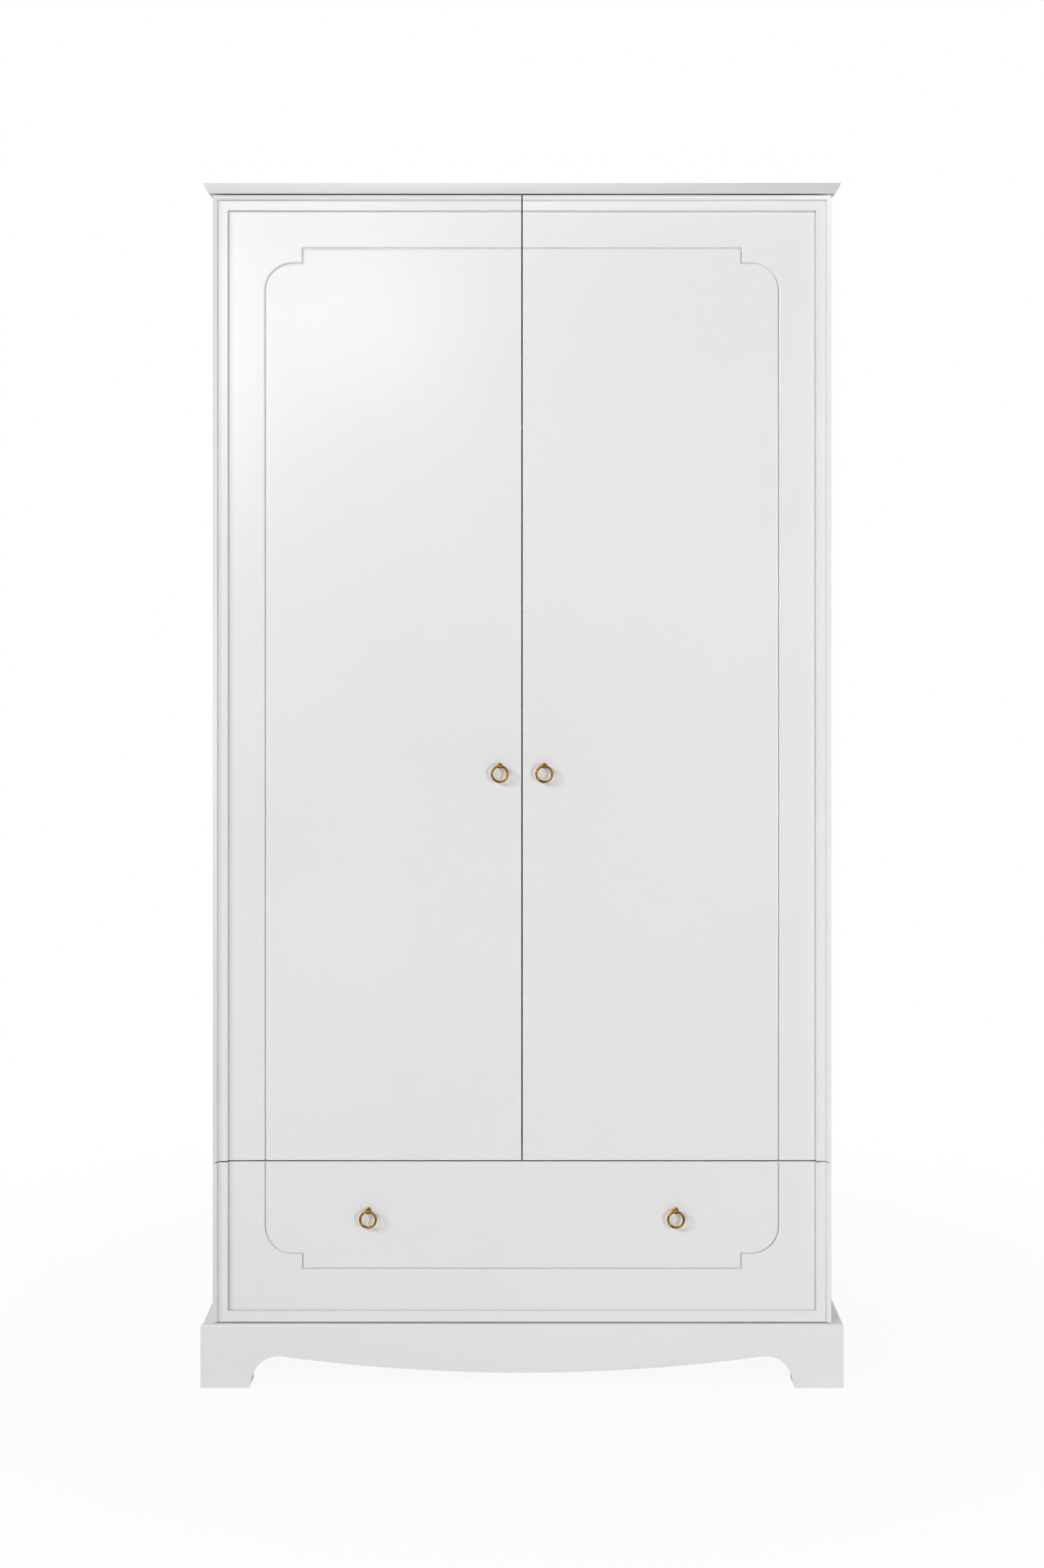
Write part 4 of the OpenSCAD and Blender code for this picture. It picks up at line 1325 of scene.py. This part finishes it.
@dataclass(frozen=True)
class Fasteners:
    """Screws of the hinges, wall angles, runners and drawer box, and nails of the back.

    Attributes:
        round_head: Screw whose head stands on its board.
        flush_head: Screw that is let in flush.
        nail: Nail of the back.
        plate_t: Thickness of a hinge plate.
        plate_in: Screws of a hinge plate, from its inner end.
        plate_back: The same screws, from its back edge.
        angle_t: Thickness of a wall angle.
        angle_in: Screws of a wall angle, from its outer end.
        angle_front: The same screws, from its front edge.
        leaf_in: Screws of a hinge leaf, from its inner end.
        web_t: Thickness of a runner member.
        runner_in: First and last screw of a runner, from its front and its back end.
        runner_count: Screws of a runner.
        box_x: Screws into the drawer's front, as shares of half the box's width.
        box_in: The same screws, from the box's lower and upper edge.
        nail_pitch: Distance between nails.
        nail_x: Upright rows of nails, from the side edges of the back.
        nail_z: Their first and last nail, from its lower and upper edge.
        nail_joint: Level rows of nails, from the joint in the middle of the back.
    """

    round_head: Head = Head(7 * MM, 1.3 * MM, 1.0 * MM)
    flush_head: Head = Head(6.5 * MM, 0.25 * MM, 0.2 * MM)
    nail: Head = Head(3.4 * MM, 0.7 * MM)
    plate_t: float = 1.6 * MM
    plate_in: tuple[float, ...] = (11 * MM, 32 * MM)
    plate_back: float = 11 * MM
    angle_t: float = 2 * MM
    angle_in: tuple[float, ...] = (7 * MM, 23 * MM)
    angle_front: float = 12 * MM
    leaf_in: tuple[float, ...] = (7 * MM, 23 * MM, 39 * MM)
    web_t: float = 1.2 * MM
    runner_in: tuple[float, float] = (30 * MM, 40 * MM)
    runner_count: int = 4
    box_x: tuple[float, ...] = (0.2, 0.86)
    box_in: float = 50 * MM
    nail_pitch: float = 140 * MM
    nail_x: float = 4.5 * MM
    nail_z: float = 12 * MM
    nail_joint: float = 30 * MM

    def hinge_plates(self, skin: Skin) -> None:
        """Two screws behind the door in each plate of the carcass, driven down or up.

        Args:
            skin: Skin that gets the heads.
        """
        low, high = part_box("right_hinge_plates")
        xs = [sign * (low.x + inset) for sign in (-1, 1) for inset in self.plate_in]
        ys = (high.y - self.plate_back,)
        self.round_head.drive(skin, spots(xs, ys, (low.z + self.plate_t,)), (0, 0, 1))
        self.round_head.drive(skin, spots(xs, ys, (high.z - self.plate_t,)), (0, 0, -1))

    def wall_angles(self, skin: Skin) -> None:
        """Two screws up into the crown board in each angle.

        Args:
            skin: Skin that gets the heads.
        """
        low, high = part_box("wall_brackets")
        xs = [sign * (high.x - inset) for sign in (-1, 1) for inset in self.angle_in]
        places = spots(xs, (low.y + self.angle_front,), (high.z - self.angle_t,))
        self.round_head.drive(skin, places, (0, 0, -1))

    def back(self, skin: Skin) -> None:
        """Nails up the side edges of the back, and along the bottom and the divider board.

        Args:
            skin: Skin that gets the heads.
        """
        low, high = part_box("back_panel_right")
        xs = (-high.x + self.nail_x, high.x - self.nail_x)
        rows = round((high.z - low.z) / self.nail_pitch)
        zs = np.linspace(low.z + self.nail_z, high.z - self.nail_z, rows)
        self.nail.drive(skin, spots(xs, (high.y,), zs), (0, 1, 0))
        boards = (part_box("bottom_board"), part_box("divider_board"))
        zs = [(corners[0].z + corners[1].z) / 2 for corners in boards]
        columns = round(high.x / self.nail_pitch)
        across = np.linspace(low.x + self.nail_joint, high.x - self.nail_pitch / 2, columns)
        self.nail.drive(skin, spots((*-across, *across), (high.y,), zs), (0, 1, 0))

    def drawer(self, skin: Skin) -> None:
        """Screws in the inner runner members, and from the box into the drawer's front.

        Args:
            skin: Skin that gets the heads.
        """
        low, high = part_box("right_runner_inner")
        ys = np.linspace(low.y + self.runner_in[0], high.y - self.runner_in[1], self.runner_count)
        for sign in (-1.0, 1.0):
            places = spots((sign * (low.x + self.web_t),), ys, ((low.z + high.z) / 2,))
            self.round_head.drive(skin, places, (sign, 0, 0))
        low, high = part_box("drawer_box_front")
        xs = [sign * share * high.x for sign in (-1, 1) for share in self.box_x]
        zs = (low.z + self.box_in, high.z - self.box_in)
        self.round_head.drive(skin, spots(xs, (high.y,), zs), (0, 1, 0))

    def leaves(self, skin: Skin, side: Side) -> None:
        """Three flush screws in each leaf in the door's lower and upper edge.

        Args:
            skin: Skin that gets the heads.
            side: The door's half.
        """
        low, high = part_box(f"{side.word}_hinge_leaves")
        inner = min(abs(low.x), abs(high.x))
        xs = [side.value * (inner + inset) for inset in self.leaf_in]
        ys = ((low.y + high.y) / 2,)
        self.flush_head.drive(skin, spots(xs, ys, (low.z,)), (0, 0, -1))
        self.flush_head.drive(skin, spots(xs, ys, (high.z,)), (0, 0, 1))

    def strike(self, skin: Skin, side: Side) -> None:
        """The screw in the middle of the disc behind the door.

        Args:
            skin: Skin that gets the head.
            side: The door's half.
        """
        low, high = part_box(f"{side.word}_strike_disc")
        middle = (low + high) / 2
        self.flush_head.drive(skin, spots((middle.x,), (high.y,), (middle.z,)), (0, 1, 0))

    def build(self) -> None:
        """Makes one piece of all the heads on each body."""
        carcass, drawer = Skin(), Skin()
        self.hinge_plates(carcass)
        self.wall_angles(carcass)
        self.back(carcass)
        self.drawer(drawer)
        skins = {"carcass": carcass, "drawer": drawer}
        for side in Side:
            door = skins[f"{side.word}_door"] = Skin()
            self.leaves(door, side)
            self.strike(door, side)
        for body, skin in skins.items():
            place(f"{body}_screws", skin.mesh(f"{body}_screws"), ZINC, body)


@dataclass(frozen=True)
class Softbox:
    """A rectangular lamp that points at a place.

    Attributes:
        name: What the lamp does.
        place: Where it stands.
        aim: Where it points.
        size: Width and height in metres.
        power: Watts.
    """

    name: str
    place: tuple[float, float, float]
    aim: tuple[float, float, float]
    size: tuple[float, float]
    power: float

    def build(self) -> None:
        """Hangs the lamp."""
        light = bpy.data.lights.new(self.name, "AREA")
        light.shape = "RECTANGLE"
        light.size, light.size_y = self.size
        light.energy = self.power
        lamp = bpy.data.objects.new(self.name, light)
        bpy.context.scene.collection.objects.link(lamp)
        lamp.location = self.place
        way = Vector(self.aim) - Vector(self.place)
        lamp.rotation_euler = way.to_track_quat("-Z", "Y").to_euler()


@dataclass(frozen=True)
class Studio:
    """Camera, lamps, floor and the white room round them.

    Attributes:
        eye: Place of the camera.
        lens: Its focal length in millimetres.
        film: Height of its film in millimetres.
        horizon: The horizon's distance from the photograph's upper edge, in pixels.
        room: Strength of the even light from all round.
        lamps: The lamps, from the front to the back.
        shade_r: Distances from the middle of the floor where its own paint begins to fade and
            where only white is left.
        shade: How much of the paint the camera sees within the first of them.
        floor_r: Half the width of the floor.
    """

    eye: tuple[float, float, float] = (0.0, -3.9155, 1.3159)
    lens: float = 50.0
    film: float = 36.0
    horizon: float = 895.5
    room: float = 0.12
    lamps: tuple[Softbox, ...] = (
        Softbox("highlight", (-0.62, -5.2, 2.44), (-0.2, -0.28, 1.4), (0.5, 0.5), 8.0),
        Softbox("left_highlight", (-1.45, -5.2, 2.35), (-0.5, -0.28, 1.5), (0.4, 1.2), 21.0),
        Softbox("window", (-2.5, -4.4, 3.2), (0.0, -0.28, 1.1), (0.8, 0.8), 62.0),
        Softbox("far_window", (-16.0, -12.0, 9.0), (0.0, -0.28, 1.0), (4.8, 4.8), 1300.0),
        Softbox("right", (3.0, -4.8, 1.5), (0.0, -0.28, 1.1), (0.8, 0.8), 34.0),
        Softbox("low_right", (2.4, -4.0, 0.5), (0.4, -0.28, 0.6), (0.8, 0.8), 31.0),
        Softbox("over_top", (0.0, 1.0, 5.4), (0.0, 0.4, 2.0), (2.0, 2.0), 42.0),
        Softbox("left_of_back", (-3.2, 4.6, 1.0), (0.0, 0.3, 1.0), (4.0, 1.9), 90.0),
        Softbox("right_of_back", (4.4, 2.6, 1.0), (0.0, 0.3, 1.0), (4.0, 1.9), 80.0),
    )
    shade_r: tuple[float, float] = (0.7, 1.6)
    shade: float = 0.07
    floor_r: float = 60.0

    def camera(self) -> None:
        """Sets the camera level, and shifts its film down to take in the feet."""
        data = bpy.data.cameras.new("camera")
        data.lens = self.lens
        data.sensor_fit = "VERTICAL"
        data.sensor_height = self.film
        data.shift_y = -(PHOTO_H / 2 - self.horizon) / PHOTO_H
        camera = bpy.data.objects.new("camera", data)
        camera.location = self.eye
        camera.rotation_euler = (math.pi / 2, 0, 0)
        bpy.context.scene.collection.objects.link(camera)
        bpy.context.scene.camera = camera

    def world(self) -> None:
        """White to the camera and in reflections, and a lower even light on everything else."""
        world = bpy.data.worlds.new("room")
        world.use_nodes = True
        bpy.context.scene.world = world
        tree = world.node_tree
        tree.nodes.clear()
        rays = add_node(tree, "ShaderNodeLightPath").outputs
        most = {"operation": "MAXIMUM"}
        links = {0: rays["Is Camera Ray"], 1: rays["Is Glossy Ray"]}
        seen = add_node(tree, "ShaderNodeMath", most, links)
        links = {0: seen.outputs[0], 1: rays["Is Transmission Ray"]}
        seen = add_node(tree, "ShaderNodeMath", most, links)
        light, white = (
            add_node(tree, "ShaderNodeBackground", {"Color": WHITE, "Strength": strength})
            for strength in (self.room, 1.0)
        )
        links = {0: seen.outputs[0], 1: light.outputs[0], 2: white.outputs[0]}
        mixed = add_node(tree, "ShaderNodeMixShader", links=links)
        add_node(tree, "ShaderNodeOutputWorld", links={"Surface": mixed.outputs[0]})

    def floor_material(self) -> bpy.types.Material:
        """The floor's pale paint, over which a white glow that only the camera sees grows outwards.

        Returns:
            The new material.
        """
        material = bpy.data.materials.new("pale_studio_floor")
        material.use_nodes = True
        tree = material.node_tree
        tree.nodes.clear()
        rays = add_node(tree, "ShaderNodeLightPath").outputs
        paint = add_node(tree, "ShaderNodeBsdfDiffuse", {"Color": FLOOR_PAINT})
        glow = add_node(tree, "ShaderNodeEmission", {"Color": WHITE, "Strength": 1.0})
        where = add_node(tree, "ShaderNodeTexCoord").outputs["Object"]
        away = add_node(tree, "ShaderNodeVectorMath", {"operation": "LENGTH"}, {0: where})
        near, far = self.shade_r
        settings = {
            "interpolation_type": "SMOOTHSTEP",
            "From Min": near, "From Max": far, "To Min": 1 - self.shade,
        }
        links = {"Value": away.outputs["Value"]}
        white = add_node(tree, "ShaderNodeMapRange", settings, links)
        links = {0: white.outputs["Result"], 1: paint.outputs[0], 2: glow.outputs[0]}
        lit = add_node(tree, "ShaderNodeMixShader", links=links)
        links = {0: rays["Is Camera Ray"], 1: paint.outputs[0], 2: lit.outputs[0]}
        mixed = add_node(tree, "ShaderNodeMixShader", links=links)
        add_node(tree, "ShaderNodeOutputMaterial", links={"Surface": mixed.outputs[0]})
        return material

    def floor(self) -> None:
        """Lays a wide level floor under the feet."""
        mesh = bpy.data.meshes.new("floor")
        corners = spots((-self.floor_r, self.floor_r), (-self.floor_r, self.floor_r), (0.0,))
        mesh.from_pydata(corners.tolist(), [], [(0, 2, 3, 1)])
        mesh.materials.append(self.floor_material())
        floor = bpy.data.objects.new("floor", mesh)
        bpy.context.scene.collection.objects.link(floor)

    def build(self) -> None:
        """Sets up the studio."""
        self.camera()
        self.world()
        self.floor()
        for lamp in self.lamps:
            lamp.build()
        bpy.context.scene.view_settings.view_transform = "Standard"


def main() -> None:
    """Builds the studio and then the wardrobe from the front to the back."""
    logging.basicConfig(level=logging.INFO, format="%(name)s: %(message)s")
    Studio().build()
    front = Front.from_frame()
    for side in Side:
        Door(front, side).build()
    for part in (DrawerFront(front), Crown(), Plinth(), RingPulls(front), Joinery(), Fasteners()):
        part.build()


if __name__ == "__main__":
    main()
